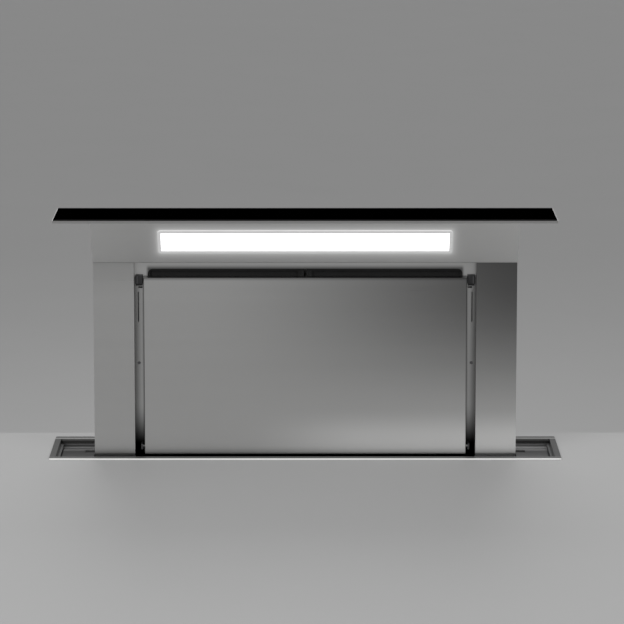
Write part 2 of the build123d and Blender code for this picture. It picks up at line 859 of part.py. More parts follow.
# gear motor on the base
with BuildPart() as lift_motor:
    block(motor_x - gear_w / 2, motor_x + gear_w / 2, screw_y - gear_w / 2, screw_y + gear_w / 2,
          base_top, base_top + gear_h)
    rod_z(motor_x, screw_y, base_top + gear_h, base_top + gear_h + motor_can_h, motor_can_r)
    rod_z(motor_x, screw_y, base_top, base_top + gear_h / 2 + rest_gap,
          motor_shaft_r + run_fit, Mode.SUBTRACT)
lift_motor.part.label = "lift_motor"
export_step(lift_motor.part, "parts/lift_motor.step")

# limit switch on its post, under the carrier plate's lowest place
with BuildPart() as limit_switch:
    switch_top = tower_foot_z - rise - switch_play
    front_y = col_front_y + 2 * sheet
    block(switch_x - switch_w / 2, switch_x + switch_w / 2, front_y, front_y + sheet,
          base_top, switch_top - plunger_h)
    block(switch_x - switch_w / 2, switch_x + switch_w / 2, front_y, front_y + 2 * switch_w,
          base_top, base_top + sheet)
    block(switch_x - switch_w / 2, switch_x + switch_w / 2, front_y + sheet,
          front_y + sheet + switch_d, switch_top - plunger_h - switch_h, switch_top - plunger_h)
    rod_z(switch_x, front_y + sheet + switch_d / 2, switch_top - plunger_h, switch_top, plunger_r)
limit_switch.part.label = "limit_switch"
export_step(limit_switch.part, "parts/limit_switch.step")

# pan round the belts
with BuildPart() as drive_pan:
    block(-house_out_x, house_out_x, -house_out_y, house_out_y, pan_foot, house_foot_z)
    block(-house_out_x + pan_sheet, house_out_x - pan_sheet, -house_out_y + pan_sheet,
          house_out_y - pan_sheet, pan_foot + pan_sheet, house_foot_z, Mode.SUBTRACT)
drive_pan.part.label = "drive_pan"
export_step(drive_pan.part, "parts/drive_pan.step")

# ---------------------------------------------------------------- blower

duct_y = fan_y - blower_d / 2

# nut lugs inside the box's walls, clear of the scroll: two on each wall, one above
lug_edge = blower_sheet + lug_w / 2
blower_lugs = [(blower_x0 + lug_edge, fan_z + blower_h / 6), (blower_x0 + lug_edge, fan_z - blower_h / 3),
               (blower_x1 - lug_edge, fan_z + blower_h / 3), (blower_x1 - lug_edge, fan_z - blower_h / 3),
               (fan_x - blower_left / 2, blower_z0 + lug_edge),
               (fan_x + blower_right / 2, blower_z0 + lug_edge),
               (fan_x + blower_right / 1.5, blower_z1 - lug_edge)]

# box on the housing's front, open towards its cover
with BuildPart() as blower_box:
    block(blower_x0, blower_x1, blower_y, fan_y, blower_z0, blower_z1)
    block(blower_x0 + blower_sheet, blower_x1 - blower_sheet, blower_y, fan_y - blower_sheet,
          blower_z0 + blower_sheet, blower_z1 - blower_sheet, Mode.SUBTRACT)
    for x, z in blower_lugs:
        block(x - lug_w / 2, x + lug_w / 2, blower_y, blower_y + lug_d, z - lug_w / 2, z + lug_w / 2)
    rod_y(fan_x, fan_z, fan_y - blower_sheet, fan_y, inlet_r, Mode.SUBTRACT)
    rod_x(duct_y, duct_z, blower_x0, blower_x0 + blower_sheet, duct_r - duct_wall, Mode.SUBTRACT)
blower_box.part.label = "blower_box"
export_step(blower_box.part, "parts/blower_box.step")

with BuildPart() as blower_cover:
    block(blower_x0, blower_x1, blower_y - blower_sheet, blower_y, blower_z0, blower_z1)
blower_cover.part.label = "blower_cover"
export_step(blower_cover.part, "parts/blower_cover.step")

# spiral wall that opens towards the outlet
with BuildPart() as scroll_wall:
    turns = 12
    inner_line = []
    outer_line = []
    for i in range(turns + 1):
        angle = math.pi + 1.5 * math.pi * i / turns
        reach = scroll_r0 + (scroll_r1 - scroll_r0 - scroll_t) * i / turns
        inner_line.append((fan_x + reach * math.cos(angle), fan_z + reach * math.sin(angle)))
        reach += scroll_t
        outer_line.append((fan_x + reach * math.cos(angle), fan_z + reach * math.sin(angle)))
    end_x = blower_x0 + blower_sheet
    with BuildSketch(Plane.XZ.offset(-(fan_y - blower_sheet))) as spiral:
        with BuildLine():
            Spline(*inner_line)
            Line(inner_line[-1], (end_x, inner_line[-1][1]))
            Line((end_x, inner_line[-1][1]), (end_x, outer_line[-1][1]))
            Line((end_x, outer_line[-1][1]), outer_line[-1])
            Spline(*outer_line)
            Line(outer_line[0], inner_line[0])
        make_face()
    extrude(spiral.sketch, amount=blower_d - blower_sheet)
scroll_wall.part.label = "scroll_wall"
export_step(scroll_wall.part, "parts/scroll_wall.step")

# rolled inlet ring
with BuildPart() as inlet_ring:
    lip_r = inlet_r - inlet_lip_in
    rod_y(fan_x, fan_z, fan_y - 2 * blower_sheet, fan_y - blower_sheet, inlet_r + inlet_ring_w)
    rod_y(fan_x, fan_z, fan_y - blower_sheet - inlet_lip_h, fan_y - blower_sheet, lip_r)
    rod_y(fan_x, fan_z, fan_y - blower_sheet - inlet_lip_h, fan_y - blower_sheet,
          lip_r - blower_sheet, Mode.SUBTRACT)
inlet_ring.part.label = "inlet_ring"
export_step(inlet_ring.part, "parts/inlet_ring.step")

fan_y1 = fan_y - blower_sheet - fan_front
fan_y0 = fan_y1 - fan_h

# drum impeller: disc, blades, end ring, hub and shaft
with BuildPart() as impeller:
    rod_y(fan_x, fan_z, fan_y0, fan_y0 + fan_disc, fan_r)
    rod_y(fan_x, fan_z, fan_y1 - fan_disc, fan_y1, fan_r)
    rod_y(fan_x, fan_z, fan_y1 - fan_disc, fan_y1, fan_r - fan_blade_w, Mode.SUBTRACT)
    rod_y(fan_x, fan_z, fan_y0, fan_y0 + fan_hub_h, fan_hub_r)
    with BuildSketch(Plane.XZ.offset(-(fan_y0 + fan_h))) as blades:
        with Locations((fan_x, fan_z)):
            with PolarLocations(fan_r - fan_blade_w / 2, fan_blades):
                Rectangle(fan_blade_w, fan_blade_t, rotation=fan_blade_turn)
        with Locations((fan_x, fan_z)):
            Circle(fan_r, mode=Mode.INTERSECT)
    extrude(blades.sketch, amount=fan_h)
    rod_y(fan_x, fan_z, fan_y0 - fan_motor_gap - fan_shaft_in, fan_y0 + fan_hub_h, fan_shaft_r)
impeller.part.label = "impeller"
export_step(impeller.part, "parts/impeller.step")

fan_motor_top = fan_y0 - fan_motor_gap
fan_motor_low = fan_motor_top - fan_motor_h

with BuildPart() as fan_motor:
    rod_y(fan_x, fan_z, fan_motor_low, fan_motor_top, fan_motor_r)
    rod_y(fan_x, fan_z, fan_motor_top - fan_shaft_in - rest_gap, fan_motor_top,
          fan_shaft_r + run_fit, Mode.SUBTRACT)
fan_motor.part.label = "fan_motor"
export_step(fan_motor.part, "parts/fan_motor.step")

# plate on three legs that carries the fan motor
with BuildPart() as fan_bracket:
    rod_y(fan_x, fan_z, fan_motor_low - spider_t, fan_motor_low, spider_r)
    for k in range(3):
        angle = math.radians(90 + 120 * k)
        leg = spider_r - 1.5 * spider_leg_r
        rod_y(fan_x + leg * math.cos(angle), fan_z + leg * math.sin(angle),
              blower_y, fan_motor_low - spider_t, spider_leg_r)
fan_bracket.part.label = "fan_bracket"
export_step(fan_bracket.part, "parts/fan_bracket.step")

# ---------------------------------------------------------------- outlet with its damper

collar_x1 = blower_x0
collar_x0 = blower_x0 - duct_len

with BuildPart() as outlet_collar:
    rod_x(duct_y, duct_z, collar_x0, collar_x1, duct_r)
    rod_x(duct_y, duct_z, collar_x1 - duct_wall, collar_x1, duct_r + duct_flange)
    rod_x(duct_y, duct_z, collar_x0, collar_x1, duct_r - duct_wall, Mode.SUBTRACT)
outlet_collar.part.label = "outlet_collar"
export_step(outlet_collar.part, "parts/outlet_collar.step")

flap_x = collar_x1 - flap_in

# upright pin that both flaps swing on
with BuildPart() as flap_pin:
    reach = duct_r - duct_wall - flap_pin_play
    rod_z(flap_x, duct_y, duct_z - reach, duct_z + reach, flap_pin_r)
flap_pin.part.label = "flap_pin"
export_step(flap_pin.part, "parts/flap_pin.step")


def flap(side):
    """Half disc with a knuckle on the pin; side 1 lies behind the pin, side -1 before it."""
    r = duct_r - duct_wall - flap_gap
    with BuildSketch(Plane.YZ.offset(flap_x - flap_t / 2)) as leaf:
        with Locations((duct_y, duct_z)):
            Circle(r)
        with Locations((duct_y - side * (r - flap_knuckle_r - flap_part), duct_z)):
            Rectangle(2 * r, 2 * r, mode=Mode.SUBTRACT)
    extrude(leaf.sketch, amount=flap_t)
    length = math.sqrt(r * r - flap_knuckle_r * flap_knuckle_r) - flap_end
    z0, z1 = sorted((duct_z + side * flap_part, duct_z + side * length))
    y0, y1 = sorted((duct_y, duct_y + side * (flap_knuckle_r + 2 * flap_part)))
    block(flap_x - flap_t / 2, flap_x + flap_t / 2, y0, y1, z0, z1)
    rod_z(flap_x, duct_y, z0, z1, flap_knuckle_r)
    rod_z(flap_x, duct_y, z0, z1, flap_pin_r + run_fit, Mode.SUBTRACT)


with BuildPart() as flap_back:
    flap(1)
flap_back.part.label = "flap_back"
export_step(flap_back.part, "parts/flap_back.step")

with BuildPart() as flap_front:
    flap(-1)
flap_front.part.label = "flap_front"
export_step(flap_front.part, "parts/flap_front.step")

# ---------------------------------------------------------------- control box

ctrl_x1 = house_out_x - ctrl_in
ctrl_x0 = ctrl_x1 - ctrl_w
ctrl_z0 = ctrl_top_z - ctrl_h
ctrl_y0 = -house_out_y - ctrl_d
gland_z = ctrl_top_z - gland_drop
gland_y = -house_out_y - ctrl_d / 2


def ctrl_corners(inset):
    """Four places (x, z), a distance in from the box's outer corners."""
    return [(x, z) for x in (ctrl_x0 + inset, ctrl_x1 - inset)
            for z in (ctrl_z0 + inset, ctrl_top_z - inset)]


# box with the board's posts and a screw boss in each corner
with BuildPart() as control_box:
    floor_y = -house_out_y - ctrl_wall
    block(ctrl_x0, ctrl_x1, ctrl_y0, -house_out_y, ctrl_z0, ctrl_top_z)
    block(ctrl_x0 + ctrl_wall, ctrl_x1 - ctrl_wall, ctrl_y0, floor_y,
          ctrl_z0 + ctrl_wall, ctrl_top_z - ctrl_wall, Mode.SUBTRACT)
    for x, z in ctrl_corners(ctrl_wall + ctrl_boss / 2):
        block(x - ctrl_boss / 2, x + ctrl_boss / 2, ctrl_y0, floor_y,
              z - ctrl_boss / 2, z + ctrl_boss / 2)
    for x, z in ctrl_corners(ctrl_board_in + ctrl_post_r):
        rod_y(x, z, floor_y - ctrl_post_h, floor_y, ctrl_post_r)
    rod_x(gland_y, gland_z, ctrl_x1 - ctrl_wall, ctrl_x1, gland_bore + gland_thread, Mode.SUBTRACT)
control_box.part.label = "control_box"
export_step(control_box.part, "parts/control_box.step")

with BuildPart() as control_board:
    board_y = floor_y - ctrl_post_h
    block(ctrl_x0 + ctrl_board_in, ctrl_x1 - ctrl_board_in, board_y - ctrl_board_t, board_y,
          ctrl_z0 + ctrl_board_in, ctrl_top_z - ctrl_board_in)
control_board.part.label = "control_board"
export_step(control_board.part, "parts/control_board.step")

with BuildPart() as control_cover:
    block(ctrl_x0, ctrl_x1, ctrl_y0 - ctrl_wall, ctrl_y0, ctrl_z0, ctrl_top_z)
control_cover.part.label = "control_cover"
export_step(control_cover.part, "parts/control_cover.step")

# gland: hexagon and dome with the cable's bore
with BuildPart() as cable_gland:
    with BuildSketch(Plane.YZ.offset(ctrl_x1)) as hexagon:
        with Locations((gland_y, gland_z)):
            RegularPolygon(gland_r, 6)
    extrude(hexagon.sketch, amount=gland_len / 3)
    rod_x(gland_y, gland_z, ctrl_x1 + gland_len / 3, ctrl_x1 + gland_len, gland_r - gland_step)
    fillet(cable_gland.faces().sort_by(Axis.X)[-1].edges(), radius=gland_step)
    rod_x(gland_y, gland_z, ctrl_x1, ctrl_x1 + gland_len, gland_bore, Mode.SUBTRACT)
cable_gland.part.label = "cable_gland"
export_step(cable_gland.part, "parts/cable_gland.step")

# ---------------------------------------------------------------- fixing

clamp_x = half_tower - clamp_in

# angle clamps below the frame, on the housing's front and back
with BuildPart() as clamps:
    for side in (-1, 1):
        for x in (-clamp_x, clamp_x):
            y0, y1 = sorted((side * house_out_y, side * (house_out_y + clamp_t)))
            block(x - clamp_w / 2, x + clamp_w / 2, y0, y1, clamp_z - clamp_h, clamp_z)
            y0, y1 = sorted((side * house_out_y, side * (house_out_y + clamp_reach)))
            block(x - clamp_w / 2, x + clamp_w / 2, y0, y1, clamp_z - clamp_t, clamp_z)
            rod_z(x, side * (house_out_y + clamp_reach - clamp_hole_in), clamp_z - clamp_t, clamp_z,
                  clamp_screw_r, Mode.SUBTRACT)
clamps.part.label = "clamps"
export_step(clamps.part, "parts/clamps.step")

# screws that press up from below, so that the flange is pulled down on its seat
with BuildPart() as clamp_screws:
    for side in (-1, 1):
        for x in (-clamp_x, clamp_x):
            y = side * (house_out_y + clamp_reach - clamp_hole_in)
            tail = clamp_z - clamp_t - clamp_tail
            tip = clamp_z + clamp_screw_up
            rod_z(x, y, tail, tip, clamp_screw_r)
            rod_z(x, y, tail - clamp_head_t, tail, 2 * clamp_screw_r)
            rod_z(x, y, tip, tip + clamp_foot_t, 2 * clamp_screw_r)
clamp_screws.part.label = "clamp_screws"
export_step(clamp_screws.part, "parts/clamp_screws.step")

# foot brackets with two holes each
with BuildPart() as foot_brackets:
    for side in (-1, 1):
        x0, x1 = sorted((side * house_out_x, side * (house_out_x + foot_t)))
        block(x0, x1, -foot_w / 2, foot_w / 2, pan_foot, pan_foot + foot_h)
        x0, x1 = sorted((side * house_out_x, side * (house_out_x + foot_reach)))
        block(x0, x1, -foot_w / 2, foot_w / 2, pan_foot, pan_foot + foot_t)
        for y in (-foot_pitch / 2, foot_pitch / 2):
            rod_z(side * (house_out_x + foot_reach - foot_hole_in), y, pan_foot, pan_foot + foot_t,
                  foot_hole_r, Mode.SUBTRACT)
foot_brackets.part.label = "foot_brackets"
export_step(foot_brackets.part, "parts/foot_brackets.step")


def case_head(x, y, z, out):
    """Socket head on a face at (x, y, z), standing out along one axis."""
    face = Plane(origin=(x, y, z), z_dir=out)
    with BuildSketch(face) as disc:
        Circle(case_head_r)
    extrude(disc.sketch, amount=case_head_t)
    with BuildSketch(face.offset(case_head_t)) as socket:
        RegularPolygon(case_socket_r, 6)
    extrude(socket.sketch, amount=-case_socket_deep, mode=Mode.SUBTRACT)


# heads on the blower's cover, the control box's cover and the foot brackets
with BuildPart() as case_screws:
    for x, z in blower_lugs:
        case_head(x, blower_y - blower_sheet, z, (0, -1, 0))
    for x, z in ctrl_corners(ctrl_wall + ctrl_boss / 2):
        case_head(x, ctrl_y0 - ctrl_wall, z, (0, -1, 0))
    for side in (-1, 1):
        for y in (-foot_w / 3, foot_w / 3):
            for z in (pan_foot + pan_deep / 2, pan_foot + (pan_deep + foot_h) / 2):
                case_head(side * (house_out_x + foot_t), y, z, (side, 0, 0))
case_screws.part.label = "case_screws"
export_step(case_screws.part, "parts/case_screws.step")

# rivet heads that join the frame's walls to the housing
with BuildPart() as frame_rivets:
    for side in (-1, 1):
        for k in range(-rivets_each_way, rivets_each_way + 1):
            y = side * (half_open_d + frame_wall)
            rod_y(k * screw_x / rivets_each_way, (tray_foot - frame_drop) / 2,
                  *sorted((y, y + side * rivet_t)), rivet_r)
frame_rivets.part.label = "frame_rivets"
export_step(frame_rivets.part, "parts/frame_rivets.step")
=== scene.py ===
# %% [markdown]
# A pop-up vent that stands in a slot: steel tower, leaning lamp head, black glass lid, and the
# housing with its blower below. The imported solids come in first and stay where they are. What
# this script adds is finish, light, a camera and the small pieces that a close look expects.

# %% Load the solids
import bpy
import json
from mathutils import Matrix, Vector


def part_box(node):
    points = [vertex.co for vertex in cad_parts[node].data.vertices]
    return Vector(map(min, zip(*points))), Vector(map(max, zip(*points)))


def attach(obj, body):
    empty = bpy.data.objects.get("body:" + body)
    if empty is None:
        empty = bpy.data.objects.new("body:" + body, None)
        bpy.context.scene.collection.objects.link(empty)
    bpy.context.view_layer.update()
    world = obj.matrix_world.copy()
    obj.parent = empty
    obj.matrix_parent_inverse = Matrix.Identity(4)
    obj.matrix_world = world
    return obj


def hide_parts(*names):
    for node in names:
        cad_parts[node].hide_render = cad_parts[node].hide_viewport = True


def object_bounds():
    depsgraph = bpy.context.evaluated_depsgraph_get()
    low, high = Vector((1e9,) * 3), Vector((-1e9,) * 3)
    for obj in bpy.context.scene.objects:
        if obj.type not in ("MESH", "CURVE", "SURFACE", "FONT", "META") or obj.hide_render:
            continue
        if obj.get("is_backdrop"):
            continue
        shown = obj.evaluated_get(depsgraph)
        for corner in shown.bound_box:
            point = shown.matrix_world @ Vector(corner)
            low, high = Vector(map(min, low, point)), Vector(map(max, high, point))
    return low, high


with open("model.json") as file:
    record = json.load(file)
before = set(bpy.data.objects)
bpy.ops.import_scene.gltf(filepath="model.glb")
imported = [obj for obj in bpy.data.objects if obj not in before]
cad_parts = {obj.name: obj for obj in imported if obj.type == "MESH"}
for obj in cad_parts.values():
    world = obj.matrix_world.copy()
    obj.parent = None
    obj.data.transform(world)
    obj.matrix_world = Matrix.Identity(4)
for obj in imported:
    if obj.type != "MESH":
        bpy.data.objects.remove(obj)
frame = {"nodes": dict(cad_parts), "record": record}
cad_low, cad_high = (list(corner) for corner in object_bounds())

import json
import math
import bmesh
import bpy
from mathutils import Matrix, Vector

# %% [markdown]
# The camera stands under five metres off, well over a metre above the rim, and looks down at
# the vent. A long lens keeps the tower's uprights nearly parallel. It needs no shift: a small
# turn puts the vent a touch left of the middle, as in the picture.

# %% Camera
CAMERA_PLACE = (0.007, -4.6905, 1.3128)
CAMERA_DOWN = 12.83
CAMERA_TURN = -0.058
CAMERA_LENS = 160.7

camera_data = bpy.data.cameras.new("camera")
camera_data.lens = CAMERA_LENS
camera_data.sensor_width = 36.0
camera_data.clip_end = 200.0
camera = bpy.data.objects.new("camera", camera_data)
camera.location = CAMERA_PLACE
camera.rotation_euler = (math.radians(90 - CAMERA_DOWN), 0, math.radians(CAMERA_TURN))
bpy.context.collection.objects.link(camera)
bpy.context.scene.camera = camera
bpy.context.scene.view_settings.view_transform = "Standard"
print("camera at", CAMERA_PLACE, "lens", CAMERA_LENS)

# %% [markdown]
# A finish is a tree of nodes. Written one node at a time it is hard to read, so a small class
# wraps one socket: sums and products of wrapped sockets add their Math nodes by themselves, and
# one method, add, makes any other node. That way a finish reads like a formula.

# %% Shader sums
class Wire:
    """One output socket in a tree of nodes. Sums on it add Math nodes."""

    def __init__(self, tree, socket=None):
        self.tree = tree
        self.socket = socket

    def add(self, kind, settings=None, inputs=None, out=0):
        """Any node: its type, its settings first, then values or links for its sockets."""
        node = self.tree.nodes.new("ShaderNode" + kind)
        for key, value in (settings or {}).items():
            setattr(node, key, value)
        for key, value in (inputs or {}).items():
            if isinstance(value, Wire):
                self.tree.links.new(value.socket, node.inputs[key])
            else:
                node.inputs[key].default_value = value
        return Wire(self.tree, node.outputs[out])

    def sum(self, operation, *values):
        """One Math node on wires or numbers."""
        return self.add("Math", {"operation": operation}, dict(enumerate(values)))

    def __add__(self, other):
        return self.sum("ADD", self, other)

    def __radd__(self, other):
        return self.sum("ADD", other, self)

    def __sub__(self, other):
        return self.sum("SUBTRACT", self, other)

    def __rsub__(self, other):
        return self.sum("SUBTRACT", other, self)

    def __mul__(self, other):
        return self.sum("MULTIPLY", self, other)

    def __rmul__(self, other):
        return self.sum("MULTIPLY", other, self)

    def __pow__(self, other):
        return self.sum("POWER", self, other)

    def __rpow__(self, other):
        return self.sum("POWER", other, self)

    def held(self, low, high):
        """The value, kept between two limits."""
        return self.sum("MINIMUM", self.sum("MAXIMUM", self, low), high)

    def size(self):
        """The value without its sign."""
        return self.sum("ABSOLUTE", self)

    def step(self, start, end):
        """0 before start, 1 after end, smooth between."""
        return self.add("MapRange", {"interpolation_type": "SMOOTHSTEP"},
                        {0: self, 1: start, 2: end, 3: 0.0, 4: 1.0})

    def between(self, low, high):
        """The number low where the value is 0 and high where it is 1."""
        return self * (high - low) + low

    def colour(self, low, high):
        """The colour low where the value is 0 and high where it is 1."""
        return self.add("Mix", {"data_type": "RGBA"}, {0: self, 6: low, 7: high}, 2)


class Finish:
    """A material with its shader, and the wires that a finish starts from."""

    def __init__(self, name, **fixed):
        self.material = bpy.data.materials.new(name)
        self.material.use_nodes = True
        self.tree = self.material.node_tree
        self.shader = self.tree.nodes["Principled BSDF"]
        for key, value in fixed.items():
            self.shader.inputs[key.replace("_", " ")].default_value = value
        self.place = Wire(self.tree).add("TexCoord", out="Object")

    def axes(self):
        """Object coordinates, apart, in metres."""
        node = self.place.add("SeparateXYZ", {}, {0: self.place}).socket.node
        return [Wire(self.tree, node.outputs[i]) for i in range(3)]

    def noise(self, stretch, detail=3.0, rough=0.5):
        """Noise on stretched Object coordinates: one number per axis, in waves per metre."""
        spread = self.place.add("Mapping", {}, {"Vector": self.place, "Scale": stretch})
        return spread.add("TexNoise", {}, {"Vector": spread, "Scale": 1.0, "Detail": detail,
                                           "Roughness": rough})

    def cells(self, scale):
        """Cells with a random colour each, so many to the metre."""
        return self.place.add("TexVoronoi", {}, {"Vector": self.place, "Scale": scale}, "Color")

    def feed(self, **wires):
        """Link wires to sockets of the shader, named with _ for a space."""
        for key, wire in wires.items():
            self.tree.links.new(wire.socket, self.shader.inputs[key.replace("_", " ")])

    def bump(self, height, distance):
        """Relief from a height of 0 to 1, so many metres deep."""
        self.feed(Normal=height.add("Bump", {}, {"Strength": 1.0, "Distance": distance,
                                                 "Height": height}))


def grey(value):
    """An opaque grey."""
    return (value, value, value, 1.0)


def tint(shade, share):
    """A colour times a share, opaque."""
    return [channel * share for channel in shade] + [1.0]


print("shader sums ready")

# %% [markdown]
# The show surfaces are brushed stainless steel: hair-fine scratches that run along the vent.
# Real brushing is finer than a pixel at this distance, so three layers carry it: fine hairs in
# the bump, wider streaks in the roughness, and a slow drift in the colour, as a sheet has.

# %% Brushed steel
STEEL = (0.51, 0.51, 0.505)
HAIRS = (9.0, 900.0, 900.0)
STREAKS = tuple(wave * 0.12 for wave in HAIRS)
CLOUD = (2.2, 3.0, 3.0)
BRUSH_DEEP = 0.000007


def brushed_steel(name, shade, rough=0.3):
    """Brushed stainless sheet. HAIRS, STREAKS and CLOUD are waves per metre on each axis."""
    steel = Finish(name, Metallic=1.0)
    hairs = steel.noise(HAIRS, 4.0, 0.6)
    streaks = steel.noise(STREAKS, 3.0, 0.55)
    cloud = steel.noise(CLOUD, 2.0, 0.5)
    tone = (hairs - 0.5) * 0.05 + (streaks - 0.5) * 0.02 + (cloud - 0.5) * 0.1 + 0.5
    steel.feed(Base_Color=tone.held(0.0, 1.0).colour(tint(shade, 0.86), tint(shade, 1.14)),
               Roughness=(streaks - 0.5) * 0.08 + (hairs - 0.5) * 0.06 + rough)
    steel.bump(hairs * 0.6 + streaks * 0.4, BRUSH_DEEP)
    return steel


steel_body = brushed_steel("brushed_steel_body", STEEL)
print("brushed steel ready")

# %% [markdown]
# The column is the same sheet, but in the picture it is dark at its upper right and pale at its
# lower right, as bright sheet takes the tone of what it faces. Big cards round the vent could
# give that in one view. A slow change of tone over the sheet, a painted reflection, gives it in
# every view, because it is tied to the steel's own place. The panel's edges and foot, the
# pillars' tops and the recessed strip carry painted shade as well.

# %% Column steel
SIDE_AIR = 0.0165
SLOT_SIDE = 0.023
SLOT_DROP = 0.0155
PILLAR_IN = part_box("pillar_right")[0].x
PANEL_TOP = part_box("front_panel")[1].z
PANEL_HALF = PILLAR_IN - SIDE_AIR
SLOT_HALF = PILLAR_IN - SLOT_SIDE
SLOT_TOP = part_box("pillar_right")[1].z - SLOT_DROP
# where each change of tone starts and ends, in metres
TO_RIGHT = (-0.22, 0.42)
TO_TOP = (-0.06, 0.30)
UNDER_HEAD = (0.26, 0.34)
RIGHT_HALF = (-0.12, 0.12)
OFF_FOOT = (0.03, 0.08)
FOOT_EDGE = (-0.003, 0.003)
TOP_EDGE = (-0.001, 0.006)
SIDE_EDGE = (0.0006, 0.0014)
OFF_PILLAR = (0.001, 0.013)
OFF_PANEL = (0.0005, 0.0045)
STRIP_FOOT = (0.012, 0.085)
SLOT_EDGE = (-0.001, 0.008)
SLOT_END = (-0.002, 0.004)
OVER_PANEL = (-0.004, 0.002)
STRIP_RIGHT = (0.1, 0.42)


def paint_light_and_shade(steel, level):
    """Multiply a finish's colour by a level that changes over the surface: painted light and
    shade.
    """
    colour = Wire(steel.tree, steel.shader.inputs["Base Color"].links[0].from_socket)
    steel.feed(Base_Color=colour.add("Mix", {"data_type": "RGBA", "blend_type": "MULTIPLY"},
                                     {0: 1.0, 6: colour, 7: level}, 2))
    return steel


def column_steel(name, top_shade=0.0, edges=None):
    """Brushed sheet of the column, with a painted reflection: darker to the upper right, paler to
    the lower right. Top shade darkens its top by that share, painted shade, and edges are the
    half width and the height of a sheet whose foot, top and sides get painted shade."""
    steel = brushed_steel(name, STEEL)
    x, _, z = steel.axes()
    right = x.step(*TO_RIGHT)
    bottom = right.between(1.0, 1.42)
    top = right.between(1.0, 0.24) * z.step(*UNDER_HEAD).between(1.0, 1.0 - top_shade)
    level = z.step(*TO_TOP).between(bottom, top)
    # near the foot, the right half is paler still: painted reflection
    level = level * (x.step(*RIGHT_HALF) * (1.0 - z.step(*OFF_FOOT))).between(1.0, 1.3)
    if edges is not None:
        half_w, high = edges
        # painted shade: the sheet darkens along its foot, its top and its sides
        level = level * z.step(*FOOT_EDGE).between(0.6, 1.0)
        level = level * (high - z).step(*TOP_EDGE).between(0.4, 1.0)
        level = level * (half_w - x.size()).step(*SIDE_EDGE).between(0.4, 1.0)
    return paint_light_and_shade(steel, level)


def strip_steel():
    """The recessed plate: full tone above the panel, painted shade beside it and along the slot's
    top edge, black painted shade at its foot, and a painted reflection that darkens it to the
    right.
    """
    steel = brushed_steel("brushed_steel_strip", STEEL)
    x, _, z = steel.axes()
    # painted shade: darker next to the pillar and next to the panel, black towards the foot
    from_pillar = (PILLAR_IN - x.size()).step(*OFF_PILLAR).between(0.5, 1.0)
    from_panel = (x.size() - PANEL_HALF).step(*OFF_PANEL).between(0.55, 1.0)
    beside = from_pillar * from_panel * z.step(*STRIP_FOOT).between(0.0, 0.86)
    # painted shade along the slot's top edge
    slot_edge_shade = (z - SLOT_TOP).step(*SLOT_EDGE).between(0.25, 1.0)
    above = (x.size() - SLOT_HALF).step(*SLOT_END).between(slot_edge_shade, 1.0)
    level = (z - PANEL_TOP).step(*OVER_PANEL).between(beside, above)
    # painted reflection: a little darker to the right
    return paint_light_and_shade(steel, level * x.step(*STRIP_RIGHT).between(1.05, 0.903))


steel_panel = column_steel("brushed_steel_panel", edges=(PANEL_HALF, PANEL_TOP))
steel_pillar = column_steel("brushed_steel_pillar", top_shade=0.17)
steel_strip = strip_steel()
print("column steel ready, pillars from", round(PILLAR_IN, 4))

# %% [markdown]
# The head carries the lamp, and the steel round the window catches its light. The lamp itself
# is a bright pane, but its spill on the brushed face is wider than a path tracer gives from so
# thin a pane, so the face has a faint glow of its own that falls off from the window's edge.

# %% Head steel
LAMP_LOW, LAMP_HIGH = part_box("light_diffuser")
HEAD_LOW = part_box("head_shell")[0].z
HEAD_RIGHT = (-0.1, 0.37)
SEAM_SHADE = (0.0004, 0.0022)
TO_FRONT = (0.0, -0.006)
GLOW = 0.62
GLOW_FALL = -190.0


def head_steel():
    """Pale sheet with painted light, paler still to the right, and painted shade at its lower
    seam, that glows round the window, on its front only.
    """
    steel = brushed_steel("brushed_steel_head", STEEL)
    x, y, z = steel.axes()
    seam_shade = (z - HEAD_LOW).step(*SEAM_SHADE).between(0.7, 1.0)
    # painted light: the head is paler than the column, more so to the right; painted shade along
    # its lower seam
    paint_light_and_shade(steel, x.step(*HEAD_RIGHT).between(1.4, 1.52) * seam_shade)
    past_x = (x.size() - LAMP_HIGH.x).held(0.0, 1.0)
    past_z = ((z - (LAMP_LOW.z + LAMP_HIGH.z) / 2).size()
              - (LAMP_HIGH.z - LAMP_LOW.z) / 2).held(0.0, 1.0)
    away = (past_x * past_x + past_z * past_z) ** 0.5
    glow = math.e ** (away * GLOW_FALL)
    front = y.step(*TO_FRONT)
    steel.shader.inputs["Emission Strength"].default_value = 1.0
    steel.feed(Emission_Color=(glow * front * GLOW).colour(grey(0.0), grey(1.0)))
    return steel


steel_head = head_steel()
print("head steel ready, lamp up to", round(LAMP_HIGH.z, 4))

# %% [markdown]
# The frame round the slot and the floor of its recess are steel too. In the picture only the
# front edge of the flange is a bright line: its sides and its back are dark, light hardly gets
# down its walls, and the floor is darker than the ledge round it. Bare metal seen this flat
# would shine all over, so the frame is nearly matt here. Each side has a level of its own:
# a painted highlight along the front edge, painted shade on the sides, the back and the walls,
# and painted light and shade on the floor of the recess.

# %% Frame and tray steel
FLANGE_FRONT = 0.015
OPEN_HALF_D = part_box("worktop_frame")[1].y - FLANGE_FRONT
LEDGE_UP = 0.0063
TRAY_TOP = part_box("recess_tray")[1].z
SIDE_SHADE = 0.05
PAST_OPENING = (-0.0002, 0.0002)
BRIGHT_LINE = (0.0115, 0.0135)
BACK_SHADE = (0.004, 0.010)
BELOW_RIM = (-0.003, 0.0008)
BACK_WALL = (0.04, 0.056)
FLOOR_BACK = (0.024, 0.052)
FLOOR_RIGHT = (-0.2, 0.4)
LEDGE_FACE = (-0.002, -0.0005)
UP_THE_STEP = (0.0004, 0.001)


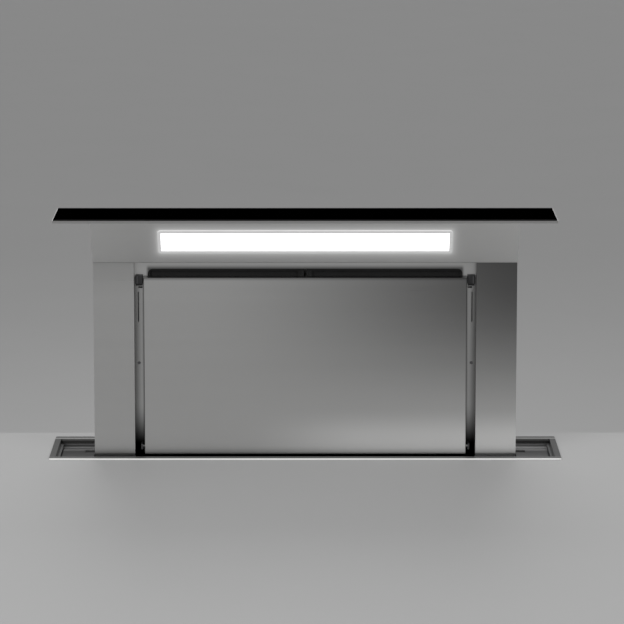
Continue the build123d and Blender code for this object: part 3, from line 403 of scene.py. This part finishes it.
def frame_steel():
    """The flange, with a painted highlight along its front edge, painted shade on its sides and
    its back, and painted shade on the walls below it, darkest at the back.
    """
    steel = brushed_steel("brushed_steel_frame", (0.8, 0.8, 0.79))
    steel.shader.inputs["Metallic"].default_value = 0.05
    steel.shader.inputs["Specular IOR Level"].default_value = 0.05
    _, y, z = steel.axes()
    to_front, to_back = -OPEN_HALF_D - y, y - OPEN_HALF_D
    # painted highlight along the flange's front edge, painted shade nearer the opening
    front_highlight_and_shade = to_front.step(*BRIGHT_LINE).between(0.1, 1.08)
    back_shade_level = to_back.step(*BACK_SHADE).between(0.28, 0.01)
    rim = to_front.step(*PAST_OPENING).between(SIDE_SHADE, front_highlight_and_shade)
    rim = to_back.step(*PAST_OPENING).between(rim, back_shade_level)
    # painted shade down the walls, darker to the back
    wall = y.step(*BACK_WALL).between(0.16, 0.04)
    return paint_light_and_shade(steel, z.step(*BELOW_RIM).between(wall, rim))


def tray_steel():
    """The ledge's top, the step below it and the floor, with painted light and shade: the ledge
    and the floor paler at the back, the floor paler to the right, and the step's wall in painted
    shade.
    """
    steel = brushed_steel("brushed_steel_tray", (0.2, 0.2, 0.2), rough=0.34)
    steel.shader.inputs["Specular Tint"].default_value = grey(0.6)
    x, y, z = steel.axes()
    ledge = (z - TRAY_TOP).step(*LEDGE_FACE)
    # painted light and shade: the floor and the ledge paler at the back, the floor paler to the
    # right
    floor = y.step(*FLOOR_BACK).between(0.3, 2.7) * x.step(*FLOOR_RIGHT).between(1.0, 1.4)
    level = ledge.between(floor, y.step(*BACK_WALL).between(0.45, 2.5))
    # only the wall of the step is above the floor and below the ledge; it gets painted shade
    wall = (1.0 - ledge) * (z - TRAY_TOP + LEDGE_UP).step(*UP_THE_STEP)
    return paint_light_and_shade(steel, level * wall.between(1.0, 0.25))


steel_frame = frame_steel()
steel_tray = tray_steel()
print("frame steel ready, ledge at", round(TRAY_TOP, 4))

# %% [markdown]
# The lid is black glass, painted on its back, and in the picture it is black right up to its
# edge. A plain glass shader mirrors the pale backdrop at such a grazing angle. The metal part of
# the shader has a tint for exactly that angle: with it at black, some light comes back from above
# and nothing at a glance. The ground edge sends back next to none. Smudges vary the gloss.

# %% Black glass
GLASS_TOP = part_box("lid_glass")[1].z
GROUND_EDGE = (-0.0006, -0.0003)


def black_glass():
    """Black glass with smudges and dust, and a dead black ground edge."""
    glass = Finish("black_glass", Metallic=1.0, Specular_Tint=grey(0.0))
    smear = glass.noise((14.0, 34.0, 14.0), 5.0, 0.6)
    dust = glass.noise((900.0, 900.0, 900.0), 1.0, 0.5)
    _, _, z = glass.axes()
    face = (z - GLASS_TOP).step(*GROUND_EDGE).between(0.06, 1.0)
    tone = ((smear - 0.5) * 0.08 + (dust - 0.5) * 0.06 + 0.5) * face
    glass.feed(Base_Color=tone.colour(grey(0.001), grey(0.13)),
               Roughness=smear.step(0.42, 0.72).between(0.06, 0.09))
    return glass


glass_lid = black_glass()
print("black glass ready")

# %% [markdown]
# The lamp is an opal strip over a row of small lamps. It is so bright that the picture shows
# plain white, with the lamps only as the faintest ripple. Lights behind a clear pane would be
# slow and grainy, so the pane gives off the light itself, and a cosine along it is the ripple.

# %% Lamp
LAMP_PITCH = 0.0166


def lamp_pane():
    """Opal pane, a touch brighter over each small lamp behind it."""
    pane = Finish("lamp_pane", Roughness=0.35)
    pane.shader.inputs["Emission Strength"].default_value = 1.6
    x, _, _ = pane.axes()
    ripple = x.sum("COSINE", x * (2 * math.pi / LAMP_PITCH))
    grain = pane.noise((300.0, 300.0, 300.0), 1.0)
    tone = ripple * 0.05 + grain * 0.05 + 0.9
    pane.feed(Base_Color=tone.colour(grey(0.8), grey(0.95)),
              Emission_Color=tone.held(0.0, 1.0).colour((0.8, 0.8, 0.82, 1.0), grey(1.0)))
    return pane


def lamp_rim():
    """The bezel, with a painted glow of its own for the light that the pane gives it from inside.
    """
    rim = Finish("lamp_rim", Metallic=1.0)
    # painted glow: the bezel is no lamp, but gives off a little light
    rim.shader.inputs["Emission Strength"].default_value = 0.38
    grain = rim.noise((40.0, 900.0, 900.0), 2.0)
    rim.feed(Base_Color=grain.colour(grey(0.55), grey(0.75)),
             Emission_Color=grain.colour(grey(0.8), grey(1.0)),
             Roughness=grain.between(0.3, 0.4))
    return rim


pane_lit = lamp_pane()
rim_painted_glow = lamp_rim()
print("lamp ready")

# %% [markdown]
# Sheet that nobody sees once the vent is built in is galvanised: zinc in grey crystals a few
# millimetres to a centimetre across, each with its own sheen. A Voronoi texture has just such
# cells. The random tone of each drives colour, gloss and relief together.

# %% Galvanised steel
ZINC_DARK = (0.3276, 0.3318, 0.336, 1.0)
ZINC_PALE = (0.504, 0.5082, 0.5166, 1.0)
CRYSTALS = 95.0
ZINC_DEEP = 0.00003


def galvanised(name):
    """Zinc in crystals: one tone for each cell, with fine grain and slow drift on top."""
    zinc = Finish(name, Metallic=1.0)
    flake = zinc.cells(CRYSTALS)
    tone = flake.add("SeparateColor", {}, {0: flake})
    fine = zinc.noise((600.0, 600.0, 600.0), 3.0)
    cloud = zinc.noise((5.0, 5.0, 5.0), 3.0)
    mix = tone * 0.5 + fine * 0.2 + cloud * 0.3
    zinc.feed(Base_Color=mix.held(0.0, 1.0).colour(ZINC_DARK, ZINC_PALE),
              Roughness=tone * 0.14 + fine * 0.08 + 0.33)
    zinc.bump(tone * 0.5 + fine * 0.5, ZINC_DEEP)
    return zinc


zinc_sheet = galvanised("galvanised_sheet")
print("galvanised steel ready")

# %% [markdown]
# The rest are small finishes. Plastic, rubber and enamel are one kind, a dull skin with a fine
# pebble, and plated screws, bronze nuts and anodised rails another, metal with tool marks. Each
# kind is one function, and a new finish is one line with its colour and gloss. Only the circuit
# boards, green lacquer over copper tracks, need a function of their own.

# %% Plastics, rubber, enamel and small metals
PEBBLE = (1500.0, 1500.0, 1500.0)
TOOL_MARKS = (140.0, 140.0, 700.0)
MARK_DEEP = 0.00003
TRACKS = (250.0, 250.0, 250.0)


def moulded(name, shade, rough=0.5, pebble=0.00006):
    """Moulded plastic or rubber with a fine pebble."""
    skin = Finish(name)
    grain = skin.noise(PEBBLE, 2.0)
    cloud = skin.noise((18.0, 18.0, 18.0), 3.0)
    mix = grain * 0.4 + cloud * 0.6
    skin.feed(Base_Color=mix.colour(tint(shade, 0.88), tint(shade, 1.12)),
              Roughness=(cloud - 0.5) * 0.16 + (grain - 0.5) * 0.1 + rough)
    skin.bump(grain, pebble)
    return skin


def machined(name, shade, rough=0.28):
    """Machined or plated metal with fine tool marks."""
    metal = Finish(name, Metallic=1.0)
    marks = metal.noise(TOOL_MARKS, 3.0, 0.6)
    cloud = metal.noise((20.0, 20.0, 20.0), 3.0)
    mix = marks * 0.5 + cloud * 0.5
    metal.feed(Base_Color=mix.colour(tint(shade, 0.85), tint(shade, 1.1)),
               Roughness=(marks - 0.5) * 0.15 + (cloud - 0.5) * 0.1 + rough)
    metal.bump(marks, MARK_DEEP)
    return metal


def circuit_board():
    """Green lacquer over raised copper tracks."""
    board = Finish("circuit_board", Coat_Weight=0.3)
    tracks = board.noise(TRACKS, 0.0).step(0.5, 0.53)
    board.feed(Base_Color=tracks.colour((0.012, 0.09, 0.035, 1.0), (0.03, 0.16, 0.07, 1.0)),
               Roughness=tracks.between(0.35, 0.5))
    board.bump(tracks, MARK_DEEP)
    return board


black_polymer = moulded("black_polymer", (0.012, 0.012, 0.013), 0.48)
black_rubber = moulded("black_rubber", (0.018, 0.018, 0.018), 0.7, 0.0001)
white_polymer = moulded("white_polymer", (0.72, 0.71, 0.67), 0.42)
box_plastic = moulded("box_plastic", (0.16, 0.165, 0.17), 0.5)
duct_plastic = moulded("duct_plastic", (0.045, 0.045, 0.048), 0.42)
motor_enamel = moulded("motor_enamel", (0.02, 0.02, 0.022), 0.35, 0.00002)
bearing_iron = moulded("bearing_iron", (0.1, 0.1, 0.105), 0.55, 0.00015)
bright_zinc = machined("bright_zinc", (0.55, 0.55, 0.56))
rail_metal = machined("rail_metal", (0.62, 0.62, 0.63), 0.35)
bronze = machined("bronze", (0.62, 0.42, 0.17), 0.32)
fan_metal = machined("fan_metal", (0.42, 0.42, 0.43), 0.38)
# near-black filters: painted shade for the dark slot behind the panel
filter_core = moulded("filter_core", (0.008, 0.008, 0.008), 0.8, 0.0002)
filter_metal = machined("filter_metal", (0.03, 0.03, 0.03), 0.5)
dark_zinc = machined("dark_zinc", (0.16, 0.16, 0.165), 0.4)
pad_polymer = moulded("pad_polymer", (0.006, 0.006, 0.006), 0.6)
pad_polymer.shader.inputs["Specular IOR Level"].default_value = 0.05
board_green = circuit_board()
print("small finishes ready")

# %% [markdown]
# Each solid now takes its finish. The record's material slot names say what a solid is made of,
# so one table dresses nearly all of them. A second, short one names the few pieces that look
# different from the rest of their slot. Only the material changes: the meshes stay as they are.

# %% Dress the solids
BY_SLOT = {
    "brushed_steel": steel_body, "frame_steel": steel_frame, "tray_steel": steel_tray,
    "black_glass": glass_lid, "lamp_diffuser": pane_lit, "lamp_bezel": rim_painted_glow,
    "circuit_board": board_green, "filter_metal": filter_core,
    "black_polymer": black_polymer, "white_polymer": white_polymer,
    "black_rubber": black_rubber, "bolt_steel": bright_zinc, "zinc_steel": zinc_sheet,
    "nut_brass": bronze, "rail_aluminium": rail_metal, "pulley_aluminium": rail_metal,
    "bearing_iron": bearing_iron, "motor_paint": motor_enamel, "fan_steel": fan_metal,
    "duct_plastic": duct_plastic, "box_plastic": box_plastic,
}
BY_NODE = {
    "head_shell": steel_head, "pillar_left": steel_pillar, "pillar_right": steel_pillar,
    "front_panel": steel_panel, "filter_frame": steel_strip, "guide_pads": pad_polymer,
    "panel_pivots": dark_zinc,
}
for part in frame["record"]["subparts"]:
    finish = BY_NODE.get(part["node"], BY_SLOT[part["material_slot"]])
    for material_slot in frame["nodes"][part["node"]].material_slots:
        material_slot.material = finish.material

# %% [markdown]
# New pieces start from bmesh shapes, placed in the vent's own frame, in metres. One helper adds
# a straight block and one softens edges. A third turns the finished bmesh into an object at the
# origin, in its finish, and the last lets such an object ride on its body.

# %% Helpers for new pieces
def add_block(mesh, low, high):
    """A straight block between two corners."""
    low, high = Vector(low), Vector(high)
    size = high - low
    place = Matrix.Translation((low + high) / 2) @ Matrix.Diagonal((*size, 1.0))
    return bmesh.ops.create_cube(mesh, size=1.0, matrix=place)["verts"]


def round_edges(mesh, edges, width, steps=2):
    """Round some edges over a width, in a few steps."""
    bmesh.ops.bevel(mesh, geom=edges, offset=width, offset_type="OFFSET", segments=steps,
                    profile=0.5, affect="EDGES", clamp_overlap=True, material=-1)


def new_object(name, mesh, finish, smooth=False):
    """The finished bmesh as an object at the origin, in its finish."""
    bmesh.ops.recalc_face_normals(mesh, faces=mesh.faces)
    data = bpy.data.meshes.new(name)
    mesh.to_mesh(data)
    mesh.free()
    data.materials.append(finish.material)
    for face in data.polygons:
        face.use_smooth = smooth
    thing = bpy.data.objects.new(name, data)
    bpy.context.collection.objects.link(thing)
    return thing


def make_piece(name, mesh, finish, body, smooth=False):
    """A piece of the vent, which rides on a body."""
    thing = new_object(name, mesh, finish, smooth)
    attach(thing, body)
    print("made", name, "with", len(thing.data.polygons), "faces")
    return thing


print("helpers ready")

# %% [markdown]
# Each grease filter is a pack of expanded metal: a sheet slit and stretched into diamonds. The
# solid gives its rim and core. The diamonds come from a turned grid, each cell inset and its
# middle deleted, then cut to the rim, thickened and leant back with the column.

# %% Filter mesh
COLUMN_BACK = 0.031
COLUMN_LEAN = math.atan2(COLUMN_BACK, HEAD_LOW)
COLUMN_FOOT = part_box("pillar_left")[0].y
DIAMOND_W = 0.016
DIAMOND_H = 0.008
STRAND = 0.0011
MESH_THICK = 0.0008
MESH_BEHIND = 0.0212
FILTER_RIM = 0.0105


def column_face(z):
    """Where the column's front face is at height z."""
    return COLUMN_FOOT + math.tan(COLUMN_LEAN) * z


def filter_mesh(name, node):
    """A sheet of diamonds in the rim of one filter."""
    low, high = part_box(node)
    half_w = (high.x - low.x) / 2 - FILTER_RIM
    half_h = (high.z - low.z) / 2 - FILTER_RIM
    middle_z = (low.z + high.z) / 2
    mesh = bmesh.new()
    cells = int(2 * (half_w / DIAMOND_W + half_h / DIAMOND_H)) // 2 + 2
    bmesh.ops.create_grid(mesh, x_segments=cells, y_segments=cells, size=cells / 2)
    bmesh.ops.inset_individual(mesh, faces=mesh.faces[:], thickness=STRAND / DIAMOND_H,
                               use_even_offset=True)
    middles = [face for face in mesh.faces if face.calc_area() > 0.5]
    bmesh.ops.delete(mesh, geom=middles, context="FACES")
    turn = Matrix.Rotation(math.radians(45), 4, "Z")
    stretch = Matrix.Diagonal((DIAMOND_W / math.sqrt(2), DIAMOND_H / math.sqrt(2), 1.0, 1.0))
    bmesh.ops.transform(mesh, matrix=stretch @ turn, verts=mesh.verts)
    for place, outwards in (((half_w, 0, 0), (1, 0, 0)), ((-half_w, 0, 0), (-1, 0, 0)),
                            ((0, half_h, 0), (0, 1, 0)), ((0, -half_h, 0), (0, -1, 0))):
        bmesh.ops.bisect_plane(mesh, geom=mesh.verts[:] + mesh.edges[:] + mesh.faces[:],
                               plane_co=place, plane_no=outwards, clear_outer=True)
    bmesh.ops.solidify(mesh, geom=mesh.faces[:], thickness=MESH_THICK)
    stand = Matrix.Rotation(math.radians(90) - COLUMN_LEAN, 4, "X")
    middle = Vector(((low.x + high.x) / 2, column_face(middle_z) + MESH_BEHIND, middle_z))
    bmesh.ops.transform(mesh, matrix=Matrix.Translation(middle) @ stand, verts=mesh.verts)
    make_piece(name, mesh, filter_metal, "tower")


for side in ("left", "right"):
    filter_mesh("filter_mesh_" + side, "filter_" + side)

# %% [markdown]
# Beside the panel's top corners sit two black latches. The solid is a plain block. The real
# catch has a moulded body with soft edges, a lip below it and a bar over the slit's top, and a
# thin spring strip along its outer side. The strip is metal, so it is a piece of its own. All
# are straight blocks, built upright and then sheared back, because the column leans.

# %% Panel latches
LATCH_W = 0.013
LATCH_FRONT = 0.009
LATCH_BACK = 0.018
LATCH_LIP = 0.0035
LATCH_SOFT = 0.0007
LIP_IN = 0.001
LIP_BEHIND = 0.002
LIP_FOOT = 0.0006
LIP_GAP = 0.0008
SPRING_W = 0.001
SPRING_OUT = 0.0004
SPRING_SIDE = 0.0034
SPRING_SHORT = 0.001
BAR_OUTER, BAR_INNER = 0.005, 0.012
BAR_LOW, BAR_HIGH = 0.0042, 0.0019
BAR_FRONT, BAR_BACK = 0.003, 0.0002


def lean_back(mesh):
    """Shear upright work so that it follows the column's face."""
    for vert in mesh.verts:
        vert.co.y += column_face(vert.co.z) - COLUMN_FOOT


def latches():
    """Both latches: their moulded bodies as one piece, their springs as another."""
    low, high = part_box("panel_clips")
    front, back = COLUMN_FOOT + LATCH_FRONT, COLUMN_FOOT + LATCH_BACK
    bodies, springs = bmesh.new(), bmesh.new()
    for side in (-1, 1):
        x0, x1 = sorted((side * high.x, side * (high.x - LATCH_W)))
        body = add_block(bodies, (x0, front, low.z + LATCH_LIP), (x1, back, high.z))
        edges = {edge for vert in body for edge in vert.link_edges}
        round_edges(bodies, list(edges), LATCH_SOFT)
        add_block(bodies, (x0 + LIP_IN, front + LIP_BEHIND, low.z + LIP_FOOT),
                  (x1 - LIP_IN, back, low.z + LATCH_LIP - LIP_GAP))
        strip = side * (high.x - SPRING_SIDE)
        add_block(springs, (strip - SPRING_W / 2, front - SPRING_OUT,
                            low.z + LATCH_LIP + SPRING_SHORT),
                  (strip + SPRING_W / 2, front + SPRING_W, high.z - SPRING_SHORT))
        x0, x1 = sorted((side * (high.x - BAR_OUTER), side * (high.x - BAR_INNER)))
        add_block(bodies, (x0, back - BAR_FRONT, low.z - BAR_LOW),
                  (x1, back - BAR_BACK, low.z - BAR_HIGH))
    for mesh in (bodies, springs):
        lean_back(mesh)
    body_piece = make_piece("latch_bodies", bodies, black_polymer, "tower")
    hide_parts("panel_clips")
    make_piece("latch_springs", springs, dark_zinc, "tower")


latches()

# %% [markdown]
# The small screws in the recessed strips are round heads with a socket. Each starts as a short
# rod: its front face is inset and pushed in for the socket, and its rim is bevelled. A head is
# only a few pixels wide in the picture, so the socket is left round too.

# %% Strip screws
SCREW_R = 0.0026
SCREW_T = 0.0016
SCREW_SIDES = 18
SOCKET_DEEP = 0.6
PLATE_BEHIND = 0.018


def socket_screw(mesh, middle, out):
    """A head that stands out along a direction, with a socket in its front."""
    middle, out = Vector(middle), Vector(out)
    turn = Vector((0, 0, 1)).rotation_difference(out).to_matrix().to_4x4()
    place = Matrix.Translation(middle + out * SCREW_T / 2) @ turn
    verts = bmesh.ops.create_cone(mesh, cap_ends=True, segments=SCREW_SIDES, radius1=SCREW_R,
                                  radius2=SCREW_R, depth=SCREW_T, matrix=place)["verts"]
    faces = {face for vert in verts for face in vert.link_faces}
    front = max(faces, key=lambda face: face.calc_center_median().dot(out))
    rim = list(front.edges)
    bmesh.ops.inset_region(mesh, faces=[front], thickness=SCREW_R * 0.5, use_even_offset=True)
    pushed = bmesh.ops.extrude_discrete_faces(mesh, faces=[front])["faces"]
    bmesh.ops.translate(mesh, vec=out * -SCREW_T * SOCKET_DEEP,
                        verts=list({vert for face in pushed for vert in face.verts}))
    round_edges(mesh, rim, SCREW_R * 0.2)


def strip_screws():
    """The four heads, square to the plate, which leans above the frame."""
    low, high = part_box("tower_screws")
    mesh = bmesh.new()
    for z in (high.z - SCREW_R, low.z + SCREW_R):
        lean = COLUMN_LEAN if z > 0 else 0.0
        face = column_face(max(z, 0.0)) + PLATE_BEHIND
        for x in (low.x + SCREW_R, high.x - SCREW_R):
            socket_screw(mesh, (x, face, z), (0, -math.cos(lean), math.sin(lean)))
    piece = make_piece("strip_screws", mesh, dark_zinc, "tower")
    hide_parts("tower_screws")


strip_screws()

# %% [markdown]
# Thin sheet drums unless it is stiffened, so a housing like this has beads pressed into it: long
# shallow ridges with round ends. A bump in the material would leave the sheet's outline flat, so
# they are shapes that lie on it: blocks whose corners and top edges are bevelled.

# %% Pressed beads
BEAD_W = 0.016
BEAD_HIGH = 0.0016
BEAD_ROUND = BEAD_W * 0.49
BEAD_SOFT = BEAD_HIGH * 0.9
SAME_PLACE = 0.000001
BEAD_END = 0.06
BACK_BEADS = (-0.16, -0.33, -0.50, -0.64)
FRONT_BEAD = -0.13
SIDE_BEAD = (-0.60, -0.09)


def bead(mesh, start, end, out):
    """A ridge from start to end on a sheet, standing out along a direction."""
    start, end, out = Vector(start), Vector(end), Vector(out)
    along = (end - start).normalized()
    across = out.cross(along)
    place = Matrix((along, across, out)).transposed().to_4x4()
    length = (end - start).length + BEAD_W
    place = Matrix.Translation((start + end) / 2 + out * BEAD_HIGH / 2) @ place
    place = place @ Matrix.Diagonal((length, BEAD_W, BEAD_HIGH, 1.0))
    verts = bmesh.ops.create_cube(mesh, size=1.0, matrix=place)["verts"]
    upright = [edge for edge in {e for v in verts for e in v.link_edges}
               if abs((edge.verts[0].co - edge.verts[1].co).normalized().dot(out)) > 0.9]
    rounded = bmesh.ops.bevel(mesh, geom=upright, offset=BEAD_ROUND, offset_type="OFFSET",
                              segments=6, profile=0.5, affect="EDGES", material=-1)
    corners = {vert for face in rounded["faces"] for vert in face.verts}
    level = max(vert.co.dot(out) for vert in corners)
    top = {edge for vert in corners for edge in vert.link_edges
           if all(abs(v.co.dot(out) - level) < SAME_PLACE for v in edge.verts)
           and len(edge.link_faces) == 2
           and any(abs(f.normal.dot(out)) < 0.5 for f in edge.link_faces)}
    round_edges(mesh, list(top), BEAD_SOFT, 3)


def housing_beads():
    """The beads of the back, the front and both sides, as one piece."""
    low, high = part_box("housing_back")
    mesh = bmesh.new()
    x0, x1 = low.x + BEAD_END, high.x - BEAD_END
    for z in BACK_BEADS:
        bead(mesh, (x0, high.y, z), (x1, high.y, z), (0, 1, 0))
    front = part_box("housing_front")[0].y
    bead(mesh, (x0, front, FRONT_BEAD), (x1, front, FRONT_BEAD), (0, -1, 0))
    for side in (-1, 1):
        x = side * high.x
        bead(mesh, (x, 0.0, SIDE_BEAD[0]), (x, 0.0, SIDE_BEAD[1]), (side, 0, 0))
    make_piece("housing_beads", mesh, zinc_sheet, "housing")


housing_beads()

# %% [markdown]
# Some ridges are round: a bead on the duct collar, which a hose clip sits behind, and two shallow
# rings pressed into the blower's cover. A small circle spun once round an axis makes each, and
# the last step of the spin is merged with the first.

# %% Rolled rings
AXIS_TURN = {"x": Matrix.Rotation(math.radians(90), 4, "Y"),
             "y": Matrix.Rotation(math.radians(-90), 4, "X")}
RING_STEPS = 96
SECTION_STEPS = 12
COLLAR_BEAD = (0.0747, 0.0013)
COLLAR_BEAD_IN = 0.008
COVER_RINGS = (0.062, 0.128)
COVER_RING_SECTION = 0.0018


def ring(mesh, middle, axis, radius, section):
    """A small round section spun once round an axis."""
    turn = AXIS_TURN[axis]
    circle = bmesh.ops.create_circle(mesh, cap_ends=False, segments=SECTION_STEPS, radius=section,
                                     matrix=Matrix.Translation(middle) @ turn
                                     @ Matrix.Translation((radius, 0, 0))
                                     @ Matrix.Rotation(math.radians(90), 4, "X"))["verts"]
    edges = list({edge for vert in circle for edge in vert.link_edges})
    bmesh.ops.spin(mesh, geom=circle + edges, cent=middle, axis=turn.to_3x3() @ Vector((0, 0, 1)),
                   dvec=(0, 0, 0), angle=math.radians(360), steps=RING_STEPS, use_merge=True,
                   use_duplicate=False)
    bmesh.ops.remove_doubles(mesh, verts=mesh.verts, dist=SAME_PLACE)


def rolled_rings():
    """The collar's bead, and both rings of the cover as one piece."""
    low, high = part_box("outlet_collar")
    duct = (low + high) / 2
    collar = bmesh.new()
    ring(collar, Vector((low.x + COLLAR_BEAD_IN, duct.y, duct.z)), "x", *COLLAR_BEAD)
    make_piece("collar_bead", collar, duct_plastic, "housing", smooth=True)
    cover_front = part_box("blower_cover")[0].y
    fan_low, fan_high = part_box("impeller")
    fan = (fan_low + fan_high) / 2
    cover = bmesh.new()
    for radius in COVER_RINGS:
        ring(cover, Vector((fan.x, cover_front, fan.z)), "y", radius, COVER_RING_SECTION)
    make_piece("cover_rings", cover, zinc_sheet, "housing", smooth=True)


rolled_rings()

# %% [markdown]
# The control box is cooled through louvres: short slots whose sheet is pushed out into a hood
# that sheds drips. The cover's mesh isn't cut, so each is a block on it, whose upper front edge
# is pushed back to the cover: it slopes out from there to its lower edge.

# %% Louvres
LOUVRES = 7
LOUVRE_PITCH = 0.009
LOUVRE_OFF = 0.038
LOUVRE_HALF = (0.026, 0.0025)
LOUVRE_OUT = 0.002


def louvres():
    """Two columns of louvres on the control box's cover."""
    low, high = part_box("control_cover")
    middle = (low + high) / 2
    mesh = bmesh.new()
    half_w, half_h = LOUVRE_HALF
    for side in (-1, 1):
        x = middle.x + side * LOUVRE_OFF
        for row in range(LOUVRES):
            z = middle.z + (row - (LOUVRES - 1) / 2) * LOUVRE_PITCH
            verts = add_block(mesh, (x - half_w, low.y - LOUVRE_OUT, z - half_h),
                              (x + half_w, low.y, z + half_h))
            top_front = [v for v in verts if v.co.z > z and v.co.y < low.y - LOUVRE_OUT / 2]
            bmesh.ops.translate(mesh, vec=(0, LOUVRE_OUT * 0.95, 0), verts=top_front)
    make_piece("cover_louvres", mesh, box_plastic, "housing")


louvres()

# %% [markdown]
# The floor is plain and pale. It has two levels: a large one that the housing's feet stand on,
# and a thin sheet at the height of the frame, cut out round the vent, which the camera looks
# down on. The sheet casts no shadow, so the blower below it stays lit in the other views. Both
# lie a hair below what they meet, so that no two faces share a place.

# %% Floor
FLOOR_LOW = cad_low[2]
FLOOR_REACH = 40.0
FLOOR_THICK = 0.02
HAIR = 0.0001
CUT_HALF_W = 0.434
CUT_HALF_D = 0.0605
SHEET_HALF_W = 0.62
SHEET_FRONT = -1.15
SHEET_BACK = 0.105
SHEET_THICK = 0.003


def floor_finish(name, shade):
    """A matt floor with a hardly visible cloud in it."""
    stone = Finish(name)
    cloud = stone.noise((3.0, 3.0, 3.0), 4.0)
    fine = stone.noise((220.0, 220.0, 220.0), 2.0)
    mix = cloud * 0.7 + fine * 0.3
    stone.feed(Base_Color=mix.colour(tint(shade, 0.97), tint(shade, 1.03)),
               Roughness=fine.between(0.55, 0.65))
    return stone


def floor_piece(name, blocks, finish):
    """A floor made of straight blocks, marked as stage."""
    mesh = bmesh.new()
    for low, high in blocks:
        add_block(mesh, low, high)
    thing = new_object(name, mesh, finish)
    thing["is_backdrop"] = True
    return thing


pale = floor_finish("pale_floor", (0.31, 0.31, 0.31))
floor_piece("floor_low", [((-FLOOR_REACH, -FLOOR_REACH, FLOOR_LOW - FLOOR_THICK),
                           (FLOOR_REACH, FLOOR_REACH, FLOOR_LOW - HAIR))], pale)
sheet_top, sheet_low = -HAIR, -SHEET_THICK
rim_floor = floor_piece("floor_rim", [
    ((-SHEET_HALF_W, SHEET_FRONT, sheet_low), (SHEET_HALF_W, -CUT_HALF_D, sheet_top)),
    ((-SHEET_HALF_W, CUT_HALF_D, sheet_low), (SHEET_HALF_W, SHEET_BACK, sheet_top)),
    ((-SHEET_HALF_W, -CUT_HALF_D, sheet_low), (-CUT_HALF_W, CUT_HALF_D, sheet_top)),
    ((CUT_HALF_W, -CUT_HALF_D, sheet_low), (SHEET_HALF_W, CUT_HALF_D, sheet_top)),
], pale)
rim_floor.visible_shadow = False
print("floor at", round(FLOOR_LOW, 4), "and at the rim")

# %% [markdown]
# Soft studio light: an even sky, which is the backdrop as well, one large lamp high on the left,
# a weaker one on the right and one behind. Near the vent about half of the floor's light comes
# from the sky, so shadows stay soft and pale. Small lamps alone would cast hard, dark ones.

# %% Light
SKY = 0.62

world = bpy.data.worlds.new("studio")
bpy.context.scene.world = world
world.use_nodes = True
sky = world.node_tree.nodes["Background"]
sky.inputs["Color"].default_value = grey(1.0)
sky.inputs["Strength"].default_value = SKY


def soft_lamp(name, place, aim, size, power):
    """A rectangular lamp at a place, turned to what it aims at."""
    data = bpy.data.lights.new(name, "AREA")
    data.shape = "RECTANGLE"
    data.size, data.size_y = size
    data.energy = power
    lamp = bpy.data.objects.new(name, data)
    lamp.location = place
    lamp.rotation_euler = (Vector(aim) - Vector(place)).to_track_quat("-Z", "Y").to_euler()
    bpy.context.collection.objects.link(lamp)


soft_lamp("lamp_left", (-2.4, -2.2, 2.6), (0, 0, 0), (2.2, 2.2), 70)
soft_lamp("lamp_right", (2.6, -1.6, 2.0), (0, 0, 0), (1.6, 1.6), 28)
soft_lamp("lamp_back", (0.0, 2.8, 2.2), (0, 0, -0.2), (2.4, 1.6), 30)
print("light ready")
